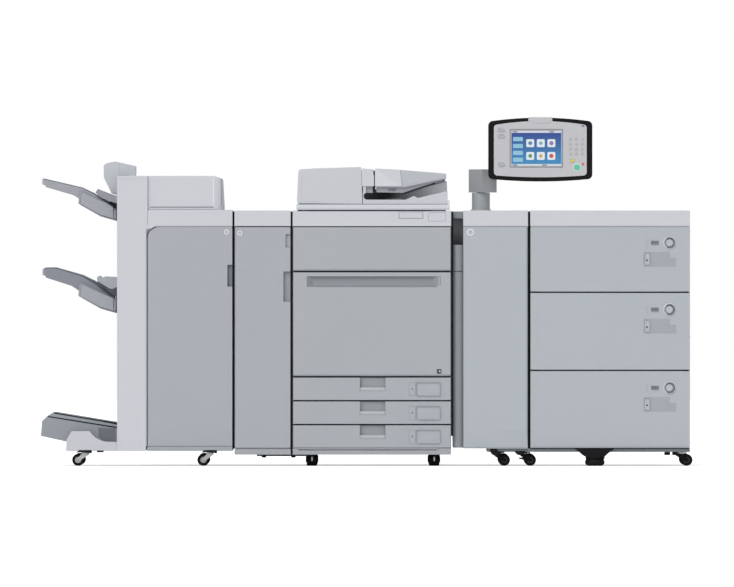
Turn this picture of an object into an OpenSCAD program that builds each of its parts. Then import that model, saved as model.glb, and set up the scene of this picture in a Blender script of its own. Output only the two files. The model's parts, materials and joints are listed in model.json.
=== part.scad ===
// Digital production printer: a row of docked cabinets. From the left they are the finisher,
// the buffer unit, the print engine with its document feeder, the pass unit that carries the
// control panel, and the paper deck.
// The frame is Z up, X along the row and Y from the front to the back, in millimetres. The
// modules are drawn with X = 0 at the finisher's left face, Y = 0 at the front covers and
// Z = 0 at the floor; placed() then moves the middle of the whole row to the origin.

/* [Cabinets] */
// Height of the cabinet tops above the floor
cabinet_h = 1040; // [1020:5:1060]
// Height of the pale band along the cabinet tops
band_h = 64; // [58:1:67]
// Gap between two docked cabinets
dock_gap = 8; // [7:0.5:10]
// Gap between neighbouring covers
seam = 6; // [5:0.5:7]
// Thickness of doors and drawer fronts
front_t = 22; // [20:1:24]
// Distance from the front covers to the cabinet bodies behind them
body_y = 32; // [30:1:40]
// Thickness of side and back panels
panel_t = 6; // [3:0.5:8]

/* [Finisher] */
// Width of the finisher with its left column
finisher_w = 470; // [460:1:480]
// Depth of the finisher and of the buffer unit
finisher_d = 790; // [760:5:800]
// Width of the column at the finisher's left
column_w = 118; // [110:1:122]
// Height of the column and hood tops
hood_h = 1181; // [1160:1:1190]

/* [Buffer unit] */
// Width of the buffer unit
buffer_w = 229; // [200:1:260]

/* [Engine] */
// Width of the print engine
engine_w = 645; // [620:1:680]
// Depth of the print engine
engine_d = 900; // [880:5:940]
// Height from one cassette to the next
cassette_pitch = 97; // [94:0.5:98]
// Depth of a cassette tray
cassette_d = 540; // [480:10:600]

/* [Pass unit and deck] */
// Width of the recessed link beside the engine
link_w = 41; // [36:1:50]
// Width of the pass unit
pass_w = 264; // [240:1:300]
// Width of the paper deck
deck_w = 650; // [620:1:680]
// Depth of the pass unit and the deck
deck_d = 797; // [780:1:840]
// Depth of a deck bin
bin_d = 620; // [500:10:680]

/* [Control panel] */
// Width of the panel housing
panel_w = 424; // [400:2:440]
// Height of the panel housing at its corners
panel_h = 238; // [220:2:250]
// Radius of the mast
mast_r = 36.5; // [30:0.5:40]

/* [Hidden] */

// Colours of the finishes.
PALE = [0.86, 0.87, 0.89];
GREY = [0.68, 0.70, 0.73];
STEEL = [0.60, 0.62, 0.64];
DARK = [0.28, 0.29, 0.31];
BLACK = [0.06, 0.06, 0.07];

// Left edges of the cabinets along X.
buffer_x = finisher_w + dock_gap;
engine_x = buffer_x + buffer_w + dock_gap;
link_x = engine_x + engine_w + dock_gap;
pass_x = link_x + link_w;
deck_x = pass_x + pass_w + dock_gap + 1;
deck_end = deck_x + deck_w;
engine_end = engine_x + engine_w;

// Heights of the covers.
band_z = cabinet_h - band_h;
cover_top = band_z - seam / 2 - 1;
finisher_base_z = 61;
buffer_base_z = 46;
engine_base_z = 46;
deck_base_z = 57;
plinth_top = 71;
finisher_plinth_top = 76;
hood_base_z = 1043;

// How far the finisher's columns reach past their foot over the door.
column_lip = 7;

// How far the pass unit's plinth starts from its left side.
pass_plinth_in = 97;

// Doors turn about an axis this far inside their front face and hinge edge, and their hinge
// edge is rounded about that axis so that it never reaches past its own plane.
hinge_in = 10;

// Heights of the engine's cassettes, front door and toner cover.
cassette_z = 71.5;
door_z = cassette_z + 3 * cassette_pitch;
toner_z = 791;
function cassette_bottom(k) = cassette_z + k * cassette_pitch + seam / 2;

// The reader's glass.
glass_x = [engine_x + 61, engine_end - 106];
glass_y = [81, 419];
glass_t = 5;

// Width of the runners that lie on the rails at a drawer's sides.
runner_w = 9;

// Heights of the seams between the deck's drawers, from the lowest.
deck_seams = [74, 389, 707, band_z - 2];
function drawer_bottom(k) = deck_seams[k] + seam / 2;
function drawer_top(k) = deck_seams[k + 1] - seam / 2;
deck_button_z = [318, 636, 908];
deck_button_x = deck_end - 83;
button_r = 15;
button_ring_r = 26;

// The slope at the foot of the tall fronts.
kick_h = 72;
kick_in = 7;

// Depth of the pulls let into the side-hinged doors.
pull_t = 13;

// The stack trays, delivery wall and booklet tray of the finisher.
tray_y = [200, 600];
slot_w = 25;
delivery_y = [190, 610];
delivery_t = 45;
outlet_z = [[150, 178], [738, 766], [1066, 1083]];

// The document feeder.
feeder_y = [15, 600];
feeder_x = [engine_x + 15, engine_end - 6];
lid_z = [cabinet_h + 5, cabinet_h + 24];
feeder_top = [1208, 1212, 1217];
cover_end = engine_x + 284;
tray_x = [cover_end + 50.5, feeder_x[1] - 14];
tray_hinge = [tray_x[0] + 12.5, 1196];
tray_pin_r = 4;
lid_hinge = [622, 1070];
lid_post_x = [engine_x + 120, engine_end - 160];
lid_pin_r = 5;
pin_gap = 0.06;
cover_hinge = [feeder_x[0] + 12, 1079];

// The control panel.
mast = [pass_x + 73, 150];
mast_top = 1113;
panel_mid = [pass_x + 314, 1286];
panel_y = [14, 52];
tilt_axis = [78, 1196];
tilt_pin_r = 5;

// Wheel radii of the casters under the finisher, the engine and the deck.
finisher_wheel = 24.5;
engine_wheel = 20;
deck_wheel = 24;
wheel_w = 20;
engine_wheel_w = 42;
axle_r = 4;
caster_trail = 26;

// Mains inlets in the backs of the engine and the deck: the middle of each along X, and the back.
INLETS = [[engine_end - 110, engine_d], [deck_end - 110, deck_d]];
inlet_z = 130;

// The row's lowest and highest corners along X and Y, for the frame at its middle.
row_x = [-313, deck_end - 12.5 + deck_wheel];
row_y = [-3, engine_d];
mid = [(row_x[0] + row_x[1]) / 2, (row_y[0] + row_y[1]) / 2];

// ---- helpers ----

module placed() translate([-mid[0], -mid[1], 0]) children();

// A block between two corners, given as ranges along X, Y and Z.
module block(x, y, z) translate([x[0], y[0], z[0]]) cube([x[1] - x[0], y[1] - y[0], z[1] - z[0]]);

// An outline in the XZ plane, carried along Y.
module along_y(points, y)
    translate([0, y[1], 0]) rotate([90, 0, 0]) linear_extrude(y[1] - y[0]) polygon(points);

// An outline in the YZ plane, carried along X.
module along_x(points, x)
    translate([x[0], 0, 0]) rotate([90, 0, 90]) linear_extrude(x[1] - x[0]) polygon(points);

// Round rods along X and Y: their ends, the two other coordinates of the axis, and the radius.
module rod_x(x, at, r, n = 32)
    translate([x[0], at[0], at[1]]) rotate([0, 90, 0]) cylinder(h = x[1] - x[0], r = r, $fn = n);

module rod_y(y, at, r, n = 32)
    translate([at[0], y[0], at[1]]) rotate([-90, 0, 0]) cylinder(h = y[1] - y[0], r = r, $fn = n);

// Points of an arc about a centre, from one angle to another.
function arc(c, r, a0, a1, n = 8) =
    [for (i = [0:n]) let (a = a0 + (a1 - a0) * i / n) [c[0] + r * cos(a), c[1] + r * sin(a)]];

// A range about a centre.
function around(c, low, high) = [c + low, c + high];

function shifted(points, by) = [for (p = points) [p[0] + by[0], p[1] + by[1]]];

// A front hinged at its left or right edge: a plate whose hinge edge is round about the axis,
// with the sloping foot that the tall fronts have.
module side_hinged_front(x, z, hinge_right = false, kick = false) {
    a = hinge_right ? x[1] - hinge_in : x[0] + hinge_in;
    intersection() {
        union() {
            block(hinge_right ? [x[0], a] : [a, x[1]], [0, front_t], z);
            block([a - hinge_in, a + hinge_in], [hinge_in, front_t], z);
            translate([a, hinge_in, z[0]]) cylinder(h = z[1] - z[0], r = hinge_in, $fn = 48);
        }
        if (kick) kick_outline(x, z);
    }
}

// A front hinged at its foot, with the lower front edge round about the axis.
module foot_hinged_front(x, z) {
    a = z[0] + hinge_in;
    block(x, [0, front_t], [a, z[1]]);
    block(x, [hinge_in, front_t], [z[0], a]);
    rod_x(x, [hinge_in, a], hinge_in, 48);
}

// The side view of a tall front: its foot slopes in.
module kick_outline(x, z)
    along_x([[kick_in, z[0]], [0, z[0] + kick_h], [0, z[1]], [front_t, z[1]], [front_t, z[0]]], x);

// ---- finisher ----

module finisher_cabinet() color(PALE) placed() {
    block([column_w, finisher_w], [body_y, finisher_d], [finisher_plinth_top, band_z]);
    block([delivery_t, column_w + 3], [delivery_y[0] + 4, delivery_y[1] - 4],
        [finisher_plinth_top, hood_h]);
}

// The columns are wider over the door, where they meet the band and the hood.
module finisher_columns() color(PALE) placed()
    for (y = [[0, delivery_y[0]], [delivery_y[1], finisher_d]]) {
        block([0, column_w], y, [finisher_base_z, band_z + 1]);
        block([0, column_w + column_lip], y, [band_z, hood_h]);
    }

// The wall that the sheets leave through. Its slabs stop short of each other at the outlets.
module delivery_panels() color(GREY) placed() {
    y = [delivery_y[0] + slot_w, delivery_y[1] - slot_w];
    levels = [finisher_base_z + 2, outlet_z[0][0], outlet_z[0][1], outlet_z[1][0],
        outlet_z[1][1], outlet_z[2][0], outlet_z[2][1], hood_h];
    for (k = [0:3]) block([0, delivery_t], y, [levels[2 * k], levels[2 * k + 1]]);
}

// Plates over each stack tray that square up the sheets.
module delivery_guides() color(PALE) placed() {
    upper = [[-90, 1114], [-80, 1129], [-21, 1106], [0, 1100], [0, 1084], [-36, 1084], [-66, 1100]];
    lower = [[-82, 753], [-84, 769], [-72, 775], [-62, 766], [-50, 772], [0, 770], [0, 728],
        [-26, 724], [-42, 730]];
    for (y = [tray_y[0] + 38, tray_y[1] - 44]) {
        along_y(upper, [y, y + 6]);
        along_y(lower, [y, y + 6]);
    }
}

module finisher_hood() color(PALE) placed() {
    x = [column_w + column_lip + 1, finisher_w - 35];
    y = [10, 700];
    z = [hood_base_z, hood_h];
    round_r = 38;
    intersection() {
        along_y([[x[0], z[0]], [x[0], z[1]], [x[1] - 41, z[1]], [x[1] - 6, z[1] - 12],
            [x[1], z[0] + 14], [x[1], z[0]]], y);
        linear_extrude(hood_h + 10) polygon(concat(
            [[x[0], y[1]], [x[0], y[0]]],
            arc([x[1] - round_r, y[0] + round_r], round_r, -90, 0, 10),
            arc([x[1] - round_r, y[1] - round_r], round_r, 0, 90, 10)));
    }
}

// The head over the upper tray, with a nose that turns the sheets down.
module exit_head() color(PALE) placed()
    along_y([[0, 1104], [-24, 1110], [-56, 1175], [-57, 1222], [-52, 1230], [-43, 1234],
        [-9, 1241], [74, 1222], [74, hood_h], [0, hood_h]], [215, 565]);

module finisher_door() color(GREY) placed() {
    x = [column_w + seam, finisher_w - 1];
    z = [finisher_plinth_top + 4, cover_top];
    corner_r = 47;
    pull_w = 20;
    pull_z = [730, 819];
    difference() {
        side_hinged_front(x, z, kick = true);
        // The round upper corner.
        difference() {
            block([x[0] - 1, x[0] + corner_r], [-1, front_t + 1], [z[1] - corner_r, z[1] + 1]);
            rod_y([-2, front_t + 2], [x[0] + corner_r, z[1] - corner_r], corner_r, 96);
        }
        // The pull at the free edge.
        block([x[1] - pull_w, x[1] + 1], [-1, pull_t], pull_z);
    }
}

// ---- stack trays ----

// Side view of a tray's carriage, measured from its corner at the finisher.
carriage_wall = [[-140, 119], [-150, 108], [-154, 66], [-62, 14], [0, -4], [0, 54], [-95, 97]];
carriage_floor = [[-154, 66], [-62, 14], [0, -4], [0, 6], [-60, 25], [-150, 75]];

// A carriage has two side walls, a floor between them, and hooks that ride in the slots.
module tray_carriage(z) {
    at = [-6, z];
    wall = 9;
    for (y = [tray_y[0], tray_y[1] - wall])
        along_y(shifted(carriage_wall, at), [y, y + wall]);
    along_y(shifted(carriage_floor, at), tray_y);
    for (y = [delivery_y[0] + slot_w / 2, delivery_y[1] - slot_w / 2]) {
        block([-14, 34], [y - 5, y + 5], [z + 8, z + 48]);
        block([-14, -7], [y - 10, y + 10], [z + 8, z + 40]);
    }
}

// The plate that catches the sheets. It lies between the carriage's walls.
module tray_plate(points) along_y(points, [tray_y[0] + 9.5, tray_y[1] - 9.5]);

upper_carriage_z = 1002;
lower_carriage_z = 626;

module upper_tray_carriage() color(GREY) placed() tray_carriage(upper_carriage_z);

module lower_tray_carriage() color(GREY) placed() tray_carriage(lower_carriage_z);

module upper_tray_plate() color(GREY) placed()
    tray_plate([[-307, 1172], [-144, 1134], [-102, 1114], [-12, 1064], [-12, 1046], [-100, 1074],
        [-150, 1084], [-165, 1094], [-182, 1104], [-292, 1136], [-296, 1145], [-307, 1147]]);

module lower_tray_plate() color(GREY) placed()
    tray_plate([[-306, 801], [-296, 807], [-252, 808], [-143, 777], [-93, 753], [-12, 706],
        [-12, 672], [-100, 698], [-150, 708], [-166, 719], [-187, 733], [-290, 766], [-295, 775],
        [-306, 777]]);

// ---- booklet tray ----

module booklet_tray() color(GREY) placed()
    along_y([[-313, 121], [-308, 182], [-286, 203], [-262, 218], [0, 175], [0, 94],
        [-208, 98]], [delivery_y[0] + 8, delivery_y[1] - 8]);

// Feet beside the booklet tray, which carry the finisher's left casters.
module booklet_outriggers() color(PALE) placed()
    for (y = [[12, delivery_y[0] - 4], [delivery_y[1] + 4, finisher_d - 12]])
        along_y(concat([[0, finisher_base_z], [-208, finisher_base_z], [-206, 106], [-186, 141]],
            arc([-32, 192], 95, 212.5, 270, 8), [[0, 97]]), y);

// ---- buffer unit ----

module buffer_cabinet() color(GREY) placed()
    block([buffer_x, buffer_x + buffer_w], [body_y, finisher_d], [plinth_top, band_z]);

module buffer_door() color(GREY) placed() {
    x = [buffer_x + 1, buffer_x + buffer_w - 1];
    pull_w = 28;
    pull_z = [669, 791];
    catch_w = 19;
    catch_z = [890, 943];
    difference() {
        side_hinged_front(x, [plinth_top + 3, cover_top]);
        block([x[1] - pull_w, x[1] + 1], [-1, pull_t], pull_z);
        block([x[1] - catch_w, x[1] + 1], [-1, pull_t - 4], catch_z);
    }
}

// ---- covers and plinths shared by the row ----

// The pale bands on top of the finisher, the buffer unit, the pass unit and the deck.
module top_covers() color(PALE) placed() {
    block([column_w + column_lip + 0.5, finisher_w], [0, finisher_d],
        [band_z, hood_base_z]);
    block([buffer_x, buffer_x + buffer_w], [0, finisher_d], [band_z, cabinet_h]);
    block([pass_x, pass_x + pass_w], [0, deck_d], [band_z, cabinet_h]);
    block([deck_x, deck_end], [0, deck_d], [band_z, cabinet_h]);
}

module base_plinths() color(GREY) placed() {
    block([column_w + 4, finisher_w], [2, finisher_d], [finisher_base_z, finisher_plinth_top]);
    block([buffer_x, buffer_x + buffer_w], [2, finisher_d], [buffer_base_z, plinth_top - 2]);
    difference() {
        block([engine_x, engine_end], [2, engine_d], [engine_base_z, plinth_top - 2]);
        // The shadow step under the lowest cassette.
        block([engine_x + 24, engine_end - 57], [0, 14], [62, plinth_top]);
    }
    block([pass_x + pass_plinth_in, pass_x + pass_w], [12, deck_d], [deck_base_z, plinth_top]);
    block([deck_x, deck_end], [12, deck_d], [deck_base_z, plinth_top]);
}

module inlet_hole(i)
    block(around(i[0], -25.2, 25.2), [i[1] - panel_t - 1, i[1] + 1], around(inlet_z, -14.2, 14.2));

// Each inlet is a socket with three flat blades.
module power_inlets() color(BLACK) placed() for (i = INLETS) {
    difference() {
        block(around(i[0], -25, 25), [i[1] - 24, i[1] - 0.5], around(inlet_z, -14, 14));
        block(around(i[0], -17, 17), [i[1] - 18, i[1]], around(inlet_z, -10, 10));
    }
    for (blade = [-9, 0, 9])
        block(around(i[0] + blade, -1, 1), [i[1] - 19, i[1] - 3], around(inlet_z, -7, 1));
}

// ---- print engine ----

// The body over the cassette bays.
module engine_core() color(DARK) placed()
    block([engine_x + panel_t, engine_end - panel_t], [body_y, engine_d - panel_t - 1],
        [door_z, band_z]);

module engine_panels() color(GREY) placed() {
    z = [plinth_top - 2, band_z];
    block([engine_x, engine_x + panel_t], [body_y, engine_d - panel_t - 0.5], z);
    block([engine_end - panel_t, engine_end], [body_y, engine_d - panel_t - 0.5], z);
    difference() {
        block([engine_x, engine_end], [engine_d - panel_t, engine_d], z);
        inlet_hole(INLETS[0]);
    }
}

// Guides on the side panels that carry the cassettes and the deck's drawers. A rail is given by
// its inner face from the cabinet's side, its rear end and its height.
module drawer_rails() color(STEEL) placed() {
    start = 40;
    engine_rail = [17, 640, 16];
    deck_rail = [19, 720, 30];
    for (k = [0:2]) {
        z = around(cassette_bottom(k) + 30, 0, engine_rail[2]);
        y = [start, engine_rail[1]];
        block([engine_x + panel_t, engine_x + engine_rail[0]], y, z);
        block([engine_end - engine_rail[0], engine_end - panel_t], y, z);
        deck_z = around(drawer_bottom(k) + 110, 0, deck_rail[2]);
        deck_y = [start, deck_rail[1]];
        block([deck_x + panel_t, deck_x + deck_rail[0]], deck_y, deck_z);
        block([deck_end - deck_rail[0], deck_end - panel_t], deck_y, deck_z);
    }
}

// The reader under the feeder: a frame with the glass let in, two covers in its front and the
// posts of the lid's hinges.
module reader_frame() color(PALE) placed() {
    difference() {
        block([engine_x, engine_end], [0, engine_d], [band_z, cabinet_h]);
        block([glass_x[0] - 1, glass_x[1] + 1], [glass_y[0] - 1, glass_y[1] + 1],
            [cabinet_h - glass_t, cabinet_h + 1]);
        block([engine_x + 432, engine_x + 531], [-1, 3], [1007, 1034]);
        block([engine_x + 552, engine_x + 623], [-1, 2], [996, 1032]);
    }
    for (x = lid_post_x) {
        block([x, x + 40], [lid_hinge[0] - 12, lid_hinge[0] + 14], [cabinet_h, lid_hinge[1] + 12]);
        rod_x([x - 14, x + 54], lid_hinge, lid_pin_r);
    }
}

module platen_glass() color([0.55, 0.65, 0.68]) placed()
    block(glass_x, glass_y, [cabinet_h - glass_t, cabinet_h]);

module toner_cover() color(GREY) placed()
    foot_hinged_front([engine_x + 2, engine_end - 2], [toner_z + seam / 2, cover_top]);

module front_door() color(GREY) placed() difference() {
    foot_hinged_front([engine_x + 2, engine_end - 2], [door_z + seam / 2, toner_z - seam / 2]);
    // The long grip, with a floor that slopes up to its inner edge.
    along_x([[-1, 728], [0, 728], [13, 736], [15, 740], [15, 772], [-1, 772]],
        [engine_x + 59, engine_x + 588]);
}

// A cassette: a front with a scoop in its upper edge, and an open tray behind it.
module cassette(k) {
    z = cassette_bottom(k);
    top = z + cassette_pitch - seam;
    wall = 3;
    floor_z = z + 3;
    rim_z = top - 10;
    runner_z = [z + 47, z + 50];
    x = [engine_x + 18, engine_end - 18];
    y = [front_t, front_t + cassette_d];
    color(GREY) difference() {
        block([engine_x + 2, engine_end - 2], [0, front_t], [z, top]);
        along_x([[-1, top - 55], [0, top - 55], [14, top - 41], [16, top - 38], [16, top + 1],
            [-1, top + 1]], [engine_x + 274, engine_x + 377]);
    }
    color(STEEL) difference() {
        union() {
            block(x, y, [floor_z, rim_z]);
            block([x[0] - runner_w, x[1] + runner_w], y, runner_z);
        }
        block([x[0] + wall, x[1] - wall], [y[0] + wall, y[1] - wall], [floor_z + wall, top]);
    }
}

module cassette_1() placed() cassette(2);
module cassette_2() placed() cassette(1);
module cassette_3() placed() cassette(0);

// ---- document feeder ----

// The lid over the glass, with the arms of its hinges behind it.
module platen_lid() color(PALE) placed() difference() {
    union() {
        block(feeder_x, feeder_y, lid_z);
        block([feeder_x[1] - 8, feeder_x[1]], feeder_y, [lid_z[0], lid_z[1] + 18]);
        for (post = lid_post_x, side = [-14, 42])
            along_x(concat([[feeder_y[1] - 1, lid_z[0]], [lid_hinge[0], lid_z[0]]],
                arc(lid_hinge, 12, -60, 90), [[feeder_y[1] + 5, lid_hinge[1] + 12],
                [feeder_y[1] + 3, lid_z[1]], [feeder_y[1] - 1, lid_z[1]]]),
                around(post, side, side + 12));
    }
    for (post = lid_post_x) rod_x(around(post, -20, 60), lid_hinge, lid_pin_r + pin_gap);
}

// The feed unit under its cover, with the ears that carry the document tray's hinge pins.
module feed_unit() color(DARK) placed() {
    x = [feeder_x[0] + 34, cover_end - 12];
    y = [feeder_y[0] + 14, feeder_y[1] - 14];
    ear_y = [y[0] + 10, y[1] - 20];
    block(x, y, [lid_z[1], 1184]);
    for (k = [0, 1]) {
        along_y(concat([[x[1] - 1, 1170], [x[1] - 1, tray_hinge[1] + 7]],
            arc(tray_hinge, 7, 90, -60)), around(ear_y[k], 0, 10));
        rod_y([ear_y[k] - 12 * (1 - k), ear_y[k] + 10 + 12 * k], tray_hinge, tray_pin_r);
    }
}

// The outlet that the originals drop into. Its floor and walls rise to the right, and a bridge
// over its left end, with a cheek at each side, stands between the cover and the document tray.
module feeder_outlet() color(PALE) placed() {
    x = [cover_end + 5, feeder_x[1] - 8];
    z = lid_z[1];
    front = [feeder_y[0] + 4, feeder_y[0] + 14];
    rear = [feeder_y[1] - 14, feeder_y[1] - 4];
    bridge_end = tray_x[0] - 9;
    cheek = [[x[0] - 1, 1138], [x[0] - 4, 1211], [bridge_end, 1208], [bridge_end, 1138]];
    along_y([[x[0], z], [x[0], 1084], [x[0] + 171, 1084], [x[0] + 204, 1099],
        [x[0] + 221, 1091], [x[1], 1119], [x[1], z]], front);
    along_y([[x[0], z], [x[0], 1139], [bridge_end, 1139], [bridge_end, 1130],
        [x[0] + 156, 1130], [x[1] - 2, 1162], [x[1], z]], rear);
    along_y([[x[0], z], [x[0], z + 4], [x[0] + 148, z + 4], [x[1], z + 22], [x[1], z]],
        [front[1], rear[0]]);
    along_y(cheek, [front[0], front[0] + 18]);
    along_y(cheek, [rear[1] - 18, rear[1]]);
    block([x[0] + 2, bridge_end], [front[0] + 12, front[0] + 18], [1112, 1140]);
    along_y([[x[0] - 3.8, 1206], [x[0] - 4, 1211], [bridge_end, 1208], [bridge_end, 1203.5]],
        [front[0] + 1, rear[1] - 1]);
}

// The cover over the feed unit: a shell that is open below and at its right.
module feeder_cover() color(PALE) placed() {
    x = [feeder_x[0] + 2, cover_end];
    z = [lid_z[1] + 3, feeder_top[0]];
    skin = 4;
    difference() {
        union() {
            along_y([[x[0] + hinge_in, z[0]], [x[0] + hinge_in, z[0] + 12], [x[0] + 1, z[0] + 12],
                [x[0] + 7, z[1]], [x[0] + 84, feeder_top[1]], [x[1] - 5, feeder_top[2]],
                [x[1], z[0]]], [feeder_y[0] + 3, feeder_y[1] - 3]);
            rod_y([feeder_y[0] + 3, feeder_y[1] - 3], cover_hinge, 10, 48);
        }
        along_y([[x[0] + 15, z[0] - 1], [x[0] + 15, z[0] + 26], [x[0] + 18, z[1] - skin],
            [x[0] + 84, feeder_top[1] - skin], [x[1] + 1, feeder_top[2] - skin],
            [x[1] + 1, z[0] - 1]],
            [feeder_y[0] + 3 + skin, feeder_y[1] - 3 - skin]);
    }
}

// The tray that holds the originals: side walls with fascias, and a sloping bed between them.
module document_tray() color(PALE) placed() {
    x = tray_x;
    y = [feeder_y[0] + 4, feeder_y[1] - 4];
    wall = 16;
    side = [[x[0], 1201], [x[0] + 3, 1211], [x[0] + 99, 1206], [x[1], 1190],
        [x[1] + 1, 1171], [x[0] + 115, 1136], [x[0] + 1, 1136]];
    bed = [[x[0] + 6, 1160], [x[1], 1179], [x[1] + 1, 1171], [x[1] - 45, 1155],
        [x[0] + 113, 1112], [x[0] + 6, 1114]];
    difference() {
        union() {
            along_y(side, [y[0], y[0] + wall]);
            along_y(side, [y[1] - wall, y[1]]);
            along_y(bed, [y[0] + wall - 2, y[1] - wall]);
        }
        rod_y([y[0] + 4, y[1] - 4], tray_hinge, tray_pin_r + pin_gap);
    }
}

// ---- pass unit ----

// The recessed strip between the engine and the pass unit, with a dark bay near its top.
module pass_link() color(GREY) placed() {
    x = [link_x, pass_x];
    bay_z = [900, 1008];
    front = 24;
    crown_r = 34;
    plan = concat([[x[0], 120]], arc([(x[0] + x[1]) / 2, front + crown_r], crown_r, 233, 307, 8),
        [[x[1], 120]]);
    for (z = [[plinth_top + 3, toner_z], [toner_z + 3, bay_z[0]]])
        translate([0, 0, z[0]]) linear_extrude(z[1] - z[0]) polygon(plan);
    block(x, [100, deck_d], [plinth_top + 3, cabinet_h - 4]);
    block(x, [30, 110], [bay_z[1], cabinet_h - 4]);
}

module pass_cabinet() color(GREY) placed()
    block([pass_x, pass_x + pass_w], [body_y, deck_d], [plinth_top, band_z]);

module pass_door() color(GREY) placed()
    side_hinged_front([pass_x + 1, pass_x + pass_w - 1], [plinth_top + 3, cover_top],
        hinge_right = true, kick = true);

// ---- control panel ----

// An outline with round corners whose upper and lower edges bow out.
function bowed(w, h, up, down, r) = concat(
    [for (i = [-10:10]) let (u = i / 10) [u * (w / 2 - r), h / 2 + up * (1 - u * u)]],
    arc([w / 2 - r, h / 2 - r], r, 80, 0, 6),
    arc([w / 2 - r, r - h / 2], r, 0, -80, 6),
    [for (i = [10:-1:-10]) let (u = i / 10) [u * (w / 2 - r), -h / 2 - down * (1 - u * u)]],
    arc([r - w / 2, r - h / 2], r, -100, -180, 6),
    arc([r - w / 2, h / 2 - r], r, 180, 100, 6));

module panel_mast() color(GREY) placed() translate([mast[0], mast[1], cabinet_h]) {
    cylinder(h = mast_top - cabinet_h, r = mast_r, $fn = 96);
    cylinder(h = mast_top - cabinet_h + 50, r = 18, $fn = 64);
}

// The head turns on the mast and reaches behind the panel with its arm.
module mast_head() color(GREY) placed() {
    z = [mast_top + 1, 1208];
    difference() {
        union() {
            translate([mast[0], mast[1], z[0]]) linear_extrude(z[1] - z[0])
                polygon([[-50, 0], [4, -56], [64, -32], [62, 30], [20, 52], [-36, 44]]);
            block([mast[0] + 40, panel_mid[0] + 40], [mast[1] - 42, mast[1] - 4],
                [1166, 1204]);
            for (side = [-34, 22])
                along_x(concat([[mast[1] - 20, 1166], [mast[1] - 20, tilt_axis[1] + 12]],
                    arc(tilt_axis, 12, 90, 270, 12)), around(panel_mid[0], side, side + 12));
            rod_x(around(panel_mid[0], -34, 34), tilt_axis, tilt_pin_r);
        }
        translate([mast[0], mast[1], z[0] - 1]) cylinder(h = 53, r = 18.05, $fn = 64);
    }
}

module panel_housing() color(BLACK) placed() {
    lug = 20;
    difference() {
        union() {
            translate([panel_mid[0], 0, panel_mid[1]])
                along_y(bowed(panel_w, panel_h, 13, 9, 20), [panel_y[0] + 5, panel_y[1]]);
            along_x(concat([[panel_y[1] - 4, tilt_axis[1] + 40], [panel_y[1] - 4, tilt_axis[1] - 20]],
                arc(tilt_axis, 11, -80, 90, 10)), around(panel_mid[0], -lug, lug));
        }
        rod_x(around(panel_mid[0], -lug - 1, lug + 1), tilt_axis, tilt_pin_r + pin_gap);
    }
}

// The pale face, with the screen let into it.
module panel_face() color(PALE) placed() difference() {
    union() {
        translate([panel_mid[0], 0, panel_mid[1]])
            along_y(bowed(panel_w - 46, panel_h - 30, 14, 7, 14), [panel_y[0], panel_y[0] + 5]);
        // The tab at the middle of the upper edge.
        translate([panel_mid[0], 0, 0])
            along_y([[-50, 1400], [-46, 1420], [46, 1420], [50, 1400]],
                [panel_y[0], panel_y[0] + 5]);
    }
    block(around(panel_mid[0], -124, 92), [-1, panel_y[0] + 2], [1215, 1371]);
}

// ---- paper deck ----

module deck_panels() color(GREY) placed() {
    z = [plinth_top, band_z];
    block([deck_x, deck_x + panel_t], [body_y, deck_d - panel_t - 0.5], z);
    block([deck_end - panel_t, deck_end], [body_y, deck_d - panel_t - 0.5], z);
    difference() {
        block([deck_x, deck_end], [deck_d - panel_t, deck_d], z);
        inlet_hole(INLETS[1]);
    }
}

// A drawer: a front with a raised ring about its button, and an open bin behind it.
module deck_drawer(k) {
    z = [drawer_bottom(k), drawer_top(k)];
    x = [deck_x + 1, deck_end];
    bin_x = [deck_x + 20, deck_end - 20];
    bin_y = [front_t, front_t + bin_d];
    wall = 3;
    floor_z = z[0] + 4;
    rim_z = z[1] - 26;
    runner_z = [z[0] + 141, z[0] + 145];
    color(GREY) difference() {
        union() {
            intersection() {
                block(x, [0, front_t], z);
                if (k == 0) kick_outline(x, z);
            }
            at_button(k, -3) cylinder(h = 7, r = button_ring_r, $fn = 96);
        }
        at_button(k, -4) cylinder(h = 5, r = button_ring_r - 5, $fn = 96);
        at_button(k, -4) cylinder(h = 22, r = button_r + 1, $fn = 64);
    }
    color(STEEL) difference() {
        union() {
            block(bin_x, bin_y, [floor_z, rim_z]);
            block([bin_x[0] - runner_w, bin_x[1] + runner_w], bin_y, runner_z);
        }
        block([bin_x[0] + wall, bin_x[1] - wall], [bin_y[0] + wall, bin_y[1] - wall],
            [floor_z + wall, z[1]]);
    }
}

// Places a child that points into the front, starting at depth y on the button's axis.
module at_button(k, y) translate([deck_button_x, y, deck_button_z[k]])
    rotate([-90, 0, 0]) children();

module deck_button(k) color(PALE) at_button(k, -2) cylinder(h = 12, r = button_r, $fn = 64);

module deck_drawer_1() placed() deck_drawer(2);
module deck_drawer_2() placed() deck_drawer(1);
module deck_drawer_3() placed() deck_drawer(0);
module deck_button_1() placed() deck_button(2);
module deck_button_2() placed() deck_button(1);
module deck_button_3() placed() deck_button(0);

// ---- casters and feet ----

// Each caster: place of the wheel's centre, wheel radius, underside it hangs from, turn and
// wheel width. At turn 0 the swivel is on the +X side of the wheel.
CASTERS = [
    for (x = [-159, 351], y = [70, finisher_d - 70])
        [[x, y], finisher_wheel, finisher_base_z, 0, wheel_w],
    for (x = [engine_x + 78, engine_end - 69], y = [90, engine_d - 90])
        [[x, y], engine_wheel, engine_base_z, 90, engine_wheel_w],
    for (x = [pass_x + 167, deck_x, deck_end - 12.5], y = [80, deck_d - 80])
        [[x, y], deck_wheel, deck_base_z, 180, wheel_w]
];

module at_caster(c) translate([c[0][0], c[0][1], 0]) rotate([0, 0, c[3]]) children();

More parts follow.
